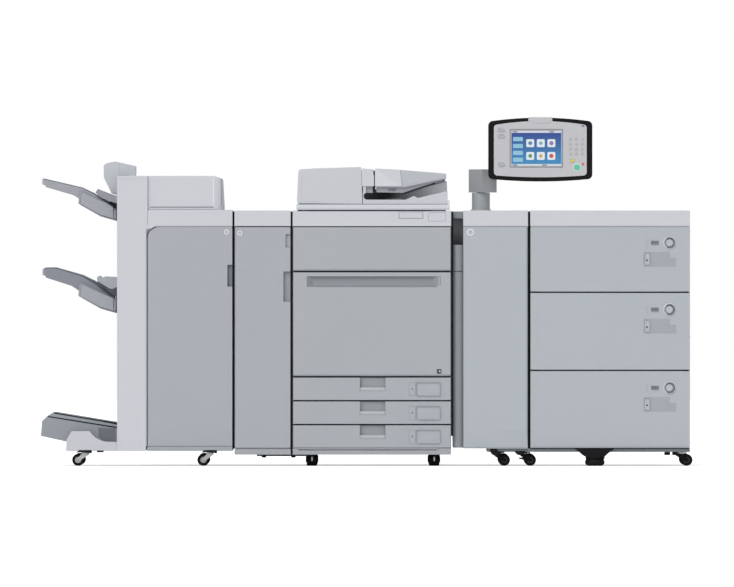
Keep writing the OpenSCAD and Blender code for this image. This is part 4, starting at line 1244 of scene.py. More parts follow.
class PRINTER_OT_feeder(bpy.types.Operator):
    """Finishes the document feeder: lid, outlet, feed cover and document tray"""
    bl_idname = "printer.feeder"
    bl_label = "Document Feeder"

    def execute(self, context):
        covered("platen_lid", moulded("lid_pale", srgb(215, 217, 223), 0.46), 1.5)
        covered("feed_unit", dark(), 1.5)
        # Recessed front faces under the tray's fascia and in the outlet's mouth are painted
        # darker: painted shade.
        under = moulded("recess_shade_grey", srgb(159, 162, 168), 0.5)
        outlet = covered("feeder_outlet", moulded("outlet_cream", srgb(200, 202, 208), 0.46), 1.6)
        painted_faces(outlet, under, lambda x, y, z,
            n: n.y < -0.9 and 28 < y < 60 and 1111 < z < 1141)
        tray = covered("document_tray", pale(), 1.8)
        painted_faces(tray, under, lambda x, y, z, n: n.y < -0.9 and 24 < y < 60 and z < 1140)
        self.feed_cover()
        self.lid_details()
        self.tray_fascia()
        self.outlet_details()
        self.document_guides()
        return {"FINISHED"}

    def feed_cover(self):
        """The cover over the feed unit, with the crease along its foot."""
        x = reach("feeder_cover", 0)
        y = reach("feeder_cover", 1)
        z = reach("feeder_cover", 2)
        barrel = [(x[0] + 10 - 10 * math.sin(math.radians(a)),
            z[0] + 12 - 10 * math.cos(math.radians(a))) for a in (0, 30, 60, 90)]
        points = barrel + [(x[0] + 6.5, z[1] - 17), (x[0] + 12, z[1] - 9), (x[0] + 84, z[1] - 5),
            (x[1] - 5, z[1]), (x[1], z[0])]
        piece = hollow_cover("feed_cover_shell", points, y, lambda centre,
            normal: normal.z < -0.99 or normal.x > 0.95, 3, 3.4)
        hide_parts("feeder_cover")
        fitted(piece, moulded("feed_cream", srgb(200, 202, 208), 0.46), "feeder_cover")
        crease = moulded("crease_grey", srgb(176, 178, 184), 0.55)
        fitted(slab("feed_cover_crease", (x[0] + 16, x[0] + 96), (y[0] - 0.25, y[0] + 0.6),
            (z[0] + 9, z[0] + 10), 0, 0.1), crease, "feeder_cover")
        behind = slab("feed_cover_shade", (x[0] + 12, x[1] - 1), (y[0] + 1.2, y[0] + 4),
            (z[0] - 2.6, z[0] + 1), 0, 0.2)
        on_feeder(behind, moulded("shadow_grey", srgb(92, 95, 101), 0.6))
        end = slab("feed_cover_end_line", (x[0] + 20, x[0] + 21), (y[0] - 0.25, y[0] + 0.6),
            (z[0] + 14, z[1] - 34), 0, 0.1)
        fitted(end, crease, "feeder_cover")

    def lid_details(self):
        """The seam along the lid, its white pad, and the strip under the cover."""
        x, y, z = (reach("platen_lid", axis) for axis in range(3))
        top = reach("feeder_outlet", 2)[0]
        on_feeder(slab("lid_seam", (x[0] + 3, x[1] - 9), (y[0] + 2.2, y[0] + 6),
            (top - 0.2, top + 2.6), 0, 0.3), moulded("groove_and_shade_grey", srgb(128, 131, 137), 0.6))
        pad = slab("lid_pad", (x[0] + 40, x[1] - 70), (y[0] + 50, y[0] + 420),
            (z[0] - 2.6, z[0] + 0.5), 6, 1, 2)
        on_feeder(pad, moulded("pad_white", srgb(236, 237, 238), 0.7, 0.0002))
        strip = slab("lid_strip", (x[0] + 14, x[0] + 34), (y[0] + 60, y[0] + 410),
            (z[0] - 1.5, z[0] + 0.5), 2, 0.4, 2)
        on_feeder(strip, dark())
        lip = slab("lid_lip", (x[0] + 4, x[1] - 4), (y[0] - 1, y[0] + 2), (z[0] - 2.6, z[0] + 5),
            0, 0.8)
        on_feeder(lip, pale())
        # The dark strips behind the lid's lip and on the reader's front edge are painted shadow of
        # the gap between lid and reader.
        line = satin("lid_shadow", srgb(36, 38, 41))
        on_feeder(slab("lid_shadow", (x[0] + 6, x[1] - 16), (y[0] + 2.4, y[0] + 6),
            (z[0] - 4.4, z[0] - 2), 0, 0.3), line)
        front = reach("reader_frame", 1)[0]
        on_row(slab("reader_edge_shadow", (x[0] + 6, x[1] - 16), (front - 0.3, front + 3),
            (z[0] - 8.2, z[0] - 4.8), 0, 0.3), line)

    def tray_fascia(self):
        """The three facets on the document tray's front side, and the seams between them."""
        left = reach("document_tray", 0)[0]
        y = reach("document_tray", 1)[0]
        seam = moulded("fascia_seam", srgb(128, 131, 137), 0.6)
        backing = [(left + 0.4, 1200), (left + 3, 1210), (left + 99, 1205), (left + 285, 1189),
            (left + 286, 1172), (left + 115, 1138), (left + 0.4, 1138)]
        fitted(outline_y("fascia_backing", backing, (y - 0.25, y + 0.6), 0.1), seam,
            "document_tray")
        fixed = reach("feeder_cover", 0)[1] + 2
        inner = [(fixed - 3.2, 1139), (fixed - 5.4, 1210.4), (left - 6, 1208), (left - 6, 1188),
            (left - 3, 1180), (left - 3, 1139)]
        lower = [(left + 0.6, 1139), (left + 0.6, 1210.4), (left + 1.2, 1210.4),
            (left + 103.8, 1139)]
        upper = [(left + 1.2, 1210.4), (left + 102.5, 1205.2), (left + 111.5, 1139),
            (left + 103.8, 1139)]
        wedge = [(left + 104.2, 1205), (left + 286.5, 1189.4), (left + 287.5, 1174.6),
            (left + 117.5, 1139), (left + 113.2, 1139)]
        for name, points, body in (("inner", inner, "document_feeder"),
                                   ("lower", lower, "document_tray"),
                                   ("upper", upper, "document_tray"),
                                   ("end", wedge, "document_tray")):
            facet = outline_y(f"fascia_{name}", points, (y - 2.2, y + 0.2),
                0.8 if name in ("inner", "end") else 0)
            if name == "upper":
                edit(facet, "VERT")
                mesh = bmesh.from_edit_mesh(facet.data)
                corner = at(left + 102.5, y - 2.2, 1205.2)
                for vertex in mesh.verts:
                    vertex.select_set((vertex.co - corner).length < 0.0005)
                bmesh.update_edit_mesh(facet.data)
                bpy.ops.transform.translate(value=(0, 1.9 * MM, 0))
                done()
            # The lower facet is painted lighter and the end wedge darker than the pale covers:
            # painted light and painted shade.
            tone = {"end": moulded("fascia_shade", srgb(184, 187, 193), 0.46),
                "lower": moulded("facet_lit_pale", srgb(210, 213, 218), 0.46)}
            fitted(facet, tone.get(name, pale()), body)
        keel = [(left + 111.5, 1137.4), (left + 288.5, 1175), (left + 288.5, 1171.5),
            (left + 113.5, 1133.5)]
        fitted(outline_y("fascia_keel", keel, (y - 1.2, y + 6), 1), pale(), "document_tray")
        mark = slab("tray_marks", (left + 55, left + 63), (y + 12.9, y + 14.2), (1119, 1129), 2,
            0.2)
        fitted(repeated(mark, [(11 * MM, 0, 0), (22 * MM, 0, 0)], "tray_marks"),
            moulded("mark_grey", srgb(120, 124, 130), 0.5), "document_tray")
        skirt = [(left + 232, 1152), (left + 288, 1171), (left + 288, 1158), (left + 232, 1143)]
        fitted(outline_y("tray_skirt", skirt, (reach("document_tray", 1)[1] - 26,
            reach("document_tray", 1)[1] - 19), 0.8), pale(), "document_tray")
        # A dark strip under the tray's front edge is painted shadow.
        edge = [(left + 96, 1112.6), (left + 114, 1112.4), (left + 244, 1155.6),
            (left + 246, 1147.6), (left + 118, 1105), (left + 96, 1106)]
        fitted(outline_y("tray_under_shadow", edge, (y + 26, y + 34), 0.6),
            satin("under_edge_shadow", srgb(58, 60, 65)), "document_tray")
        shade = satin("gap_shade", srgb(70, 72, 77))
        on_feeder(slab("cover_gap_shade", (fixed - 14, fixed + 0.5), (31, 36), (1113, 1196), 0,
            0.4), shade)
        on_feeder(slab("cover_gap_sill", (fixed - 14, fixed + 2), (30, 36), (1065, 1113), 0, 0.4),
            lip_lightened_grey())
        on_feeder(slab("tray_gap_shade", (left - 10.5, left + 2), (51, 54), (1113, 1184), 0, 0.4),
            shade)

    def outlet_details(self):
        """The cheek at the outlet's left end, and the back of the outlet, painted in shade that
        lifts to the right with a faint painted glow.
        """
        x = (reach("feeder_cover", 0)[1] + 5, reach("feeder_outlet", 0)[1])
        y = reach("feeder_outlet", 1)
        arc = [(x[0] + 9 - 9 * math.sin(math.radians(a)),
            1098.5 - 13 * math.cos(math.radians(a))) for a in range(0, 181, 20)]
        cheek = [(x[0] + 9, 1080), (x[0] - 2.6, 1080), (x[0] - 2.6, 1137),
            (x[0] + 9, 1137)] + list(reversed(arc))
        on_feeder(outline_y("outlet_cheek", cheek, (y[0] + 0.4, y[0] + 9.6), 0.8), pale())
        lip = [(x[0] - 2.6, 1067.4), (x[0] - 2.6, 1085.4), (x[0] + 4, 1085.4), (x[0] + 4, 1067.4)]
        on_feeder(outline_y("outlet_lip_end", lip, (y[0] + 0.2, y[0] + 9.6), 0.8), pale())
        floor_rib = outline_y("outlet_ribs", [(x[0] + 10, 1068), (x[0] + 10, 1069.6),
            (x[0] + 148, 1069.6), (x[1] - 8, 1086.4), (x[1] - 8, 1084)], (y[0] + 60, y[0] + 63),
            0.4)
        pitch = 72
        on_feeder(repeated(floor_rib, [(0, pitch * k * MM, 0) for k in range(1, 6)],
            "outlet_ribs"), pale())
        inner_y = (y[1] - 12.4, y[1] - 9)
        back = [(x[0] + 2, 1070), (x[0] + 2, 1127), (x[0] + 155, 1127), (x[1] - 6, 1157.6),
            (x[1] - 3, 1088), (x[0] + 155, 1070)]
        # The back and its step are painted shade that lightens to the right, and glow faintly:
        # painted light.
        on_feeder(outline_y("outlet_back", back, inner_y, 0.6),
            faded("outlet_shade", srgb(124, 126, 132), srgb(236, 238, 242), 0, (1110, 1290), 0.14))
        on_feeder(slab("outlet_back_step", (x[0] + 84, x[0] + 154), (y[1] - 13.6, y[1] - 12),
            (1071, 1092), 2, 0.4), faded("outlet_step_shade", srgb(150, 153, 158), srgb(236, 238, 242),
            0, (1090, 1170), 0.1))

    def document_guides(self):
        """The two sliding side guides on the document tray."""
        x = reach("document_tray", 0)
        y = reach("document_tray", 1)
        middle = (y[0] + y[1]) / 2
        for name, side in (("front", -1), ("rear", 1)):
            edge_y = middle + side * 148
            wall = [(x[0] + 12, 1158), (x[0] + 12, 1176), (x[0] + 22, 1184), (x[0] + 160, 1184),
                (x[0] + 176, 1178), (x[0] + 176, 1167)]
            fence = outline_y(f"document_guide_{name}", wall, (edge_y - 2, edge_y + 2), 0.8)
            fitted(fence, moulded("guide_grey", srgb(150, 154, 160), 0.5), "document_tray")


# ---- control panel ----

class PRINTER_OT_panel(bpy.types.Operator):
    """Finishes the mast, its arm, and the control panel with its screen and keys"""
    bl_idname = "printer.panel"
    bl_label = "Control Panel"

    def execute(self, context):
        mast_grey = moulded("mast_grey", srgb(166, 169, 171), 0.42)
        covered("panel_mast", mast_grey, 1.5)
        covered("mast_head", moulded("head_grey", srgb(158, 160, 163), 0.42), 3)
        covered("panel_housing", black(), 3)
        covered("panel_face", panel_grey(), 1.4)
        self.rim()
        self.screen()
        self.keys()
        self.back()
        collar = [(34, 0), (41, 0), (41, 5), (39.5, 6.5), (36, 6.5), (34, 6)]
        x, y = (sum(reach("panel_mast", axis)) / 2 for axis in (0, 1))
        on_row(lathed("mast_collar", collar, x, y, CABINET_Z - 0.5, "Z", 64), mast_grey)
        return {"FINISHED"}

    def rim(self):
        """The tab over the middle of the panel's upper edge."""
        y = reach("panel_face", 1)[0]
        top = reach("panel_face", 2)[1]
        arch = [(PANEL_X - 50, top - 12), (PANEL_X - 46, top - 1.6), (PANEL_X - 24, top - 0.4),
            (PANEL_X, top), (PANEL_X + 24, top - 0.4), (PANEL_X + 46, top - 1.6),
            (PANEL_X + 50, top - 12), (PANEL_X + 38, top - 22), (PANEL_X + 16, top - 26),
            (PANEL_X - 16, top - 26), (PANEL_X - 38, top - 22)]
        on_panel(outline_y("panel_tab", arch, (y - 1.6, y + 12), 1.4), panel_grey())

    def screen(self):
        """The display: a rim, a shaded ground, bars, a column of buttons and six tiles."""
        y = reach("panel_face", 1)[0]
        left, right = PANEL_X - 123, PANEL_X + 91
        low_z, high_z = 1216, 1370
        rim = frame_of("screen_rim", (left, right), (y - 0.4, y + 1.6), (low_z, high_z), 4.5, 3)
        on_panel(rim, moulded("screen_rim_grey", srgb(168, 170, 174), 0.35))
        floor_low, floor_high = at(0, 0, low_z + 15).z, at(0, 0, high_z - 14).z
        ground = slab("screen_ground", (left + 5, right - 5), (y + 0.7, y + 1.9),
            (low_z + 5, high_z - 5), 1.5, 0.1)
        on_panel(ground, lit("screen_blue", srgb(52, 142, 196), srgb(30, 62, 148), 0.85, floor_low,
            floor_high))
        pale_lit = lit("screen_bar", srgb(206, 214, 226), srgb(226, 232, 240), 0.8)
        for name, z in (("upper", (high_z - 14, high_z - 5.4)),
                        ("lower", (low_z + 5.4, low_z + 13))):
            on_panel(slab(f"screen_bar_{name}", (left + 5.4, right - 5.4), (y + 0.45, y + 0.9), z,
                0.6, 0.05), pale_lit)
        button = slab("screen_buttons", (left + 12, left + 52), (y + 0.4, y + 0.9),
            (low_z + 22, low_z + 39), 3, 0.05)
        steps = [(0, 0, 28 * MM * k) for k in range(1, 4)]
        on_panel(repeated(button, steps, "screen_buttons"),
            lit("screen_button", srgb(108, 176, 214), srgb(150, 205, 232), 0.8))
        tile = slab("screen_tiles", (left + 66, left + 98), (y + 0.4, y + 0.9),
            (low_z + 30, low_z + 62), 5, 0.05)
        steps = [(dx * 43 * MM, 0, dz * 52 * MM) for dx in range(3) for dz in range(2)][1:]
        on_panel(repeated(tile, steps, "screen_tiles"),
            lit("screen_tile", srgb(196, 218, 236), srgb(232, 240, 246), 0.85))
        tones = [srgb(86, 158, 92), srgb(214, 168, 70), srgb(196, 92, 84), srgb(92, 130, 190),
            srgb(120, 176, 180), srgb(156, 122, 176)]
        for number, tone in enumerate(tones):
            column, row = number % 3, number // 3
            x = left + 82 + column * 43
            z = low_z + 46 + row * 52
            steps = (6, 4, 24)[column]
            symbol = lathed(f"screen_symbol_{number + 1}",
                [(0, -0.2), (8.6, -0.2), (8.6, 0.3), (0, 0.3)], x, y + 0.4, z, "Y", steps)
            on_panel(symbol, lit(f"screen_tone_{number + 1}", tone, tone, 0.8))
        chip = slab("screen_chips", (left + 10, left + 30), (y + 0.2, y + 0.5),
            (high_z - 12, high_z - 7.4), 1, 0.05)
        steps = [(150 * MM, 0, 0), (0, 0, -(high_z - low_z - 18.6) * MM),
            (120 * MM, 0, -(high_z - low_z - 18.6) * MM)]
        on_panel(repeated(chip, steps, "screen_chips"),
            lit("screen_chip", srgb(96, 108, 130), srgb(120, 132, 152), 0.7))

    def keys(self):
        """The number keys, the side keys, and the start, stop and reset keys."""
        y = reach("panel_face", 1)[0]
        key_grey = moulded("key_grey", srgb(182, 183, 187), 0.35, 0.00002)
        round_key = [(0, -1.5), (4.6, -1.7), (6.0, -1.1), (6.4, 0), (6.4, 0.5), (0, 0.5)]
        first = lathed("number_keys", round_key, PANEL_X + 122, y, 1271, "Y", 24)
        steps = [(dx * 24 * MM, 0, dz * 20 * MM) for dx in range(3) for dz in range(4)][1:]
        on_panel(repeated(first, steps, "number_keys"), key_grey)
        side = slab("side_keys", (PANEL_X - 172, PANEL_X - 144), (y - 1.3, y + 0.4), (1360, 1371),
            3, 0.5)
        steps = [(0, 0, -26 * MM), (0, 0, -141 * MM)]
        on_panel(repeated(side, steps, "side_keys"), key_grey)
        side_mark = slab("side_key_marks", (PANEL_X - 170, PANEL_X - 150), (y - 0.3, y + 0.3),
            (1374.5, 1376), 0.4, 0.1)
        on_panel(repeated(side_mark, steps, "side_key_marks"),
            moulded("mark_grey", srgb(120, 124, 130), 0.5))
        lamp = [(0, -2.4), (9.5, -2.2), (12, -1.2), (12.6, 0.4), (0, 0.4)]
        ring = [(13, 0.4), (13, -1.5), (14.4, -1.9), (16, -1.3), (16.4, 0.4)]
        on_panel(lathed("start_key", lamp, PANEL_X + 149, y, 1216, "Y", 48),
            gloss("start_green", srgb(96, 196, 160), 0.25))
        on_panel(lathed("start_ring", ring, PANEL_X + 149, y, 1216, "Y", 48),
            gloss("ring_pale", srgb(214, 232, 224), 0.3))
        small = [(0, -2), (4.6, -1.8), (6, -1), (6.2, 0.4), (0, 0.4)]
        on_panel(lathed("stop_key", small, PANEL_X + 173, y, 1229, "Y", 32),
            gloss("stop_red", srgb(214, 118, 100), 0.3))
        on_panel(slab("reset_key", (PANEL_X + 120, PANEL_X + 139), (y - 1.6, y + 0.4),
            (1238, 1248), 4.6, 0.6), gloss("reset_yellow", srgb(224, 212, 128), 0.3))
        lamp_slot = slab("panel_lamps", (PANEL_X + 168, PANEL_X + 178), (y - 0.8, y + 0.3),
            (1382, 1386), 1.8, 0.3)
        on_panel(lamp_slot, gloss("lamp_dark", srgb(86, 92, 98), 0.2))

    def back(self):
        """The cover, vents and screws on the panel's back."""
        y = reach("panel_housing", 1)[0] + 33
        x = (PANEL_X - 178, PANEL_X + 178)
        cover = slab("panel_back_cover", x, (y - 0.4, y + 1.6), (1232, 1376), 10, 0.8)
        on_panel(cover, moulded("panel_back_grey", srgb(52, 54, 58), 0.5))
        slot = slab("panel_vents", (PANEL_X - 120, PANEL_X - 60), (y + 1.2, y + 1.9),
            (1340, 1343.4), 1.6, 0.2)
        steps = [(side * MM, 0, -k * 8 * MM) for side in (0, 180) for k in range(6)][1:]
        on_panel(repeated(slot, steps, "panel_vents"), dark())
        places = [(px, y + 1.6, z) for px in (x[0] + 12, x[1] - 12) for z in (1244, 1364)]
        screws("panel_screws", places, ("Y", 1), "control_panel", black())


# ---- paper deck ----

class PRINTER_OT_deck(bpy.types.Operator):
    """Finishes the deck's drawers with their rings, gauges and number plates"""
    bl_idname = "printer.deck"
    bl_label = "Paper Deck"

    def execute(self, context):
        covered("deck_panels", deck_grey(), 1.2)
        for k in (1, 2, 3):
            self.drawer(k)
        x = reach("deck_panels", 0)[1]
        on_row(slab("deck_top_lip", (DECK_X[0] + 1, x - 1), (1, 30),
            (reach("deck_drawer_1", 2)[1] + 0.4, BAND_Z - 1.2), 0, 0.3), lip_lightened_grey())
        foot = reach("deck_drawer_3", 2)[0]
        on_row(slab("deck_foot_lip", (DECK_X[0] + 1, x - 1), (2, 31), (foot - 3, foot - 0.8), 0,
            0.3), lip_lightened_grey())
        places = [(x, y, z) for y in (52, 412, 772) for z in (94, 526, 958)]
        screws("deck_side_screws", places, ("X", 1), "cabinets")
        return {"FINISHED"}

    def drawer(self, k):
        """One drawer: grey front, plated bin, release ring and button, gauge and plates."""
        node = f"deck_drawer_{k}"
        piece = covered(node, deck_grey(), 1.4)
        painted_faces(piece, zinc(), lambda x, y, z, n: y > FRONT_T + 0.05)
        button = f"deck_button_{k}"
        bx, bz = (sum(reach(button, axis)) / 2 for axis in (0, 2))
        top = bz + 68
        ring = [(21, 1.2), (20.6, -1.6), (21.6, -3.4), (23.6, -3.9), (25.6, -3.2), (26.6, -1.2),
            (26.8, 0.6), (22, 1.2)]
        fitted(lathed(f"release_ring_{k}", ring, bx, 0, bz, "Y", 64), pale(), node)
        # The dish about the button and the C-shaped arc about it are painted shade, the arc open
        # on the lit left side.
        dial = [(16.4, 1.35), (16.4, 0.7), (20.9, 0.4), (20.9, 1.35)]
        fitted(lathed(f"release_dish_{k}", dial, bx, 0, bz, "Y", 64),
            moulded("dish_shade_grey", srgb(152, 157, 162), 0.5), node)
        sweep = [math.radians(125 - 245 * n / 30) for n in range(31)]
        shade_arc = [(bx + 23.4 * math.cos(a), bz + 23.4 * math.sin(a)) for a in sweep] + \
            [(bx + 18.6 * math.cos(a), bz + 18.6 * math.sin(a)) for a in reversed(sweep)]
        fitted(outline_y(f"release_shade_arc_{k}", shade_arc, (-4.2, 0.9), 0.5),
            moulded("shade_arc_grey", srgb(104, 110, 116), 0.5), node)
        cap = [(0, -1.6), (4, -1.7), (5.2, -2.3), (8.6, -2.5), (9.4, -1.9), (10.6, -1.9),
            (11.4, -2.6), (14, -1.9), (15, -0.6), (15, 10), (0, 10)]
        press = lathed(f"release_button_{k}", cap, bx, 0, bz, "Y", 64)
        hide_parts(button)
        fitted(press, moulded("button_grey", srgb(188, 192, 197), 0.4), button)
        self.gauge(k, node, top)
        self.number_plate(k, node, top)
        self.bin_details(k, node)

    def gauge(self, k, node, top):
        """The paper gauge: a pale bracket and dark cells under a rim."""
        line = moulded("bracket_grey", srgb(158, 163, 168), 0.45)
        x = DECK_X[0] + 472
        bracket = [(x, top - 83), (x, top - 54), (x + 9, top - 54), (x + 9, top - 56),
            (x + 2, top - 56), (x + 2, top - 81), (x + 9, top - 81), (x + 9, top - 83)]
        fitted(outline_y(f"gauge_bracket_{k}", bracket, (-0.5, 0.3), 0.15), line, node)
        well = slab(f"gauge_well_{k}", (x + 19, x + 49.5), (-0.5, 0.3), (top - 77, top - 59.6), 2,
            0.2)
        fitted(well, moulded("well_grey", srgb(150, 155, 160), 0.4), node)
        cell = slab(f"gauge_cells_{k}", (x + 20.6, x + 26), (-0.9, 0), (top - 73, top - 61.4), 1,
            0.2)
        steps = [(7.3 * n * MM, 0, 0) for n in range(1, 4)]
        fitted(repeated(cell, steps, f"gauge_cells_{k}"), satin("cell_dark", srgb(98, 103, 109)),
            node)

    def number_plate(self, k, node, top):
        """The label plate with a notch at its upper right, and the pad at its left."""
        x = (DECK_X[0] + 460, DECK_X[0] + 593)
        z = (top - 164, top - 105)
        notched = [(x[0], z[0]), (x[0], z[1]), (x[1] - 26, z[1]), (x[1] - 26, z[1] - 24),
            (x[1], z[1] - 24), (x[1], z[0])]
        body = outline_y(f"number_plate_{k}", notched, (-0.7, 0.3), 0.35)
        fitted(dish(body, (0, -1, 0), 1.8 * MM, 0.4 * MM),
            moulded("plate_grey", srgb(164, 170, 175), 0.45), node)
        pad = slab(f"number_pad_{k}", (x[0] + 4, x[0] + 26), (-1.3, 0), (z[0] + 6, z[1] - 4), 5,
            0.4)
        fitted(pad, moulded("pad_pale", srgb(184, 188, 194), 0.45), node)
        dot = [(0, -1.2), (3.4, -1.2), (4, -0.8), (4, 0.2), (0, 0.2)]
        fitted(lathed(f"number_dot_{k}", dot, x[0] + 14, -0.9, z[0] + 25, "Y", 24),
            gloss("dot_dark", srgb(66, 70, 76), 0.3), node)

    def bin_details(self, k, node):
        """The lift plate in the bin, its side guides, and the front flange."""
        x = (reach(node, 0)[0] + 24, reach(node, 0)[1] - 24)
        z = reach(node, 2)[0]
        lift = slab(f"bin_lift_{k}", x, (FRONT_T + 6, FRONT_T + 608), (z + 8, z + 9.6), 12, 0.5, 2)
        fitted(lift, plated("lift_steel", srgb(160, 162, 165)), node)
        high_z = reach(node, 2)[1] - 30
        guide = slab(f"bin_guides_{k}", (x[0] + 50, x[0] + 54), (FRONT_T + 80, FRONT_T + 140),
            (z + 7.6, high_z), 4, 0.8, 0)
        steps = [((x[1] - x[0] - 104) * MM, 0, 0), (0, 320 * MM, 0),
            ((x[1] - x[0] - 104) * MM, 320 * MM, 0)]
        fitted(repeated(guide, steps, f"bin_guides_{k}"), base_grey(), node)


# ---- covers, base and casters ----

class PRINTER_OT_covers(bpy.types.Operator):
    """Finishes the pale bands, the black painted shade in the docking gaps, and the rear covers"""
    bl_idname = "printer.covers"
    bl_label = "Bands and Rear Covers"

    def execute(self, context):
        covered("top_covers", pale(), 2.5)
        gap_x = [(FINISHER_X[1] + 1, BUFFER_X[0] - 1), (BUFFER_X[1] + 1, ENGINE_X[0] - 2),
            (ENGINE_X[1] + 2, reach("pass_link", 0)[0]), (PASS_X[1] + 1, DECK_X[0] - 2)]
        feet = (70, 46, 122, 72)
        # Black sheets in the gaps between the units are painted shade.
        for number, (x, foot) in enumerate(zip(gap_x, feet), 1):
            front = 15 if number == 1 else 9  # the badge on the buffer door swings past
            on_row(slab(f"docking_gap_shade_{number}", (x[0] + 0.2, x[1] - 0.2), (front, 64),
                (foot, CABINET_Z - 4), 0, 0.8), satin("gap_shade_black", srgb(12, 12, 13)))
        on_row(slab("deck_seal_foot", (gap_x[3][0] + 0.2, gap_x[3][1] - 0.2), (14, 64),
            (57.5, 72), 0, 0.8), base_grey())
        depth = reach("top_covers", 1)[1]
        shallow = reach("buffer_cabinet", 1)[1]
        back = reach("reader_frame", 1)[1]
        grey = engine_grey()
        back_cover("finisher_back", (FINISHER_X[0], FINISHER_X[1] - 2), (84, 974), shallow,
            door_grey())
        back_cover("buffer_back", (BUFFER_X[0] + 2, BUFFER_X[1] - 2), (78, 974), shallow,
            door_grey())
        back_cover("engine_back_lower", (ENGINE_X[0] + 4, ENGINE_X[1] - 4), (160, 520), back, grey)
        back_cover("engine_back_upper", (ENGINE_X[0] + 4, ENGINE_X[1] - 4), (526, 974), back, grey)
        back_cover("pass_back", (PASS_X[0] + 4, PASS_X[1] - 4), (78, 974), depth, deck_grey())
        back_cover("deck_back", (DECK_X[0] + 6, DECK_X[1] - 6), (160, 974), depth, deck_grey())
        vent("engine_vent_left", (ENGINE_X[0] + 60, ENGINE_X[0] + 200), 600, 16, 9, back + 1.4,
            "cabinets", grey)
        vent("engine_vent_right", (ENGINE_X[1] - 200, ENGINE_X[1] - 60), 600, 16, 9, back + 1.4,
            "cabinets", grey)
        vent("engine_vent_lower", (ENGINE_X[0] + 240, ENGINE_X[0] + 400), 220, 12, 9, back + 1.4,
            "cabinets", grey)
        vent("finisher_vent", (FINISHER_X[0] + 100, FINISHER_X[0] + 240), 180, 10, 9,
            shallow + 1.4, "cabinets", door_grey())
        vent("deck_vent", (DECK_X[0] + 250, DECK_X[0] + 400), 800, 10, 9, depth + 1.4, "cabinets",
            deck_grey())
        return {"FINISHED"}


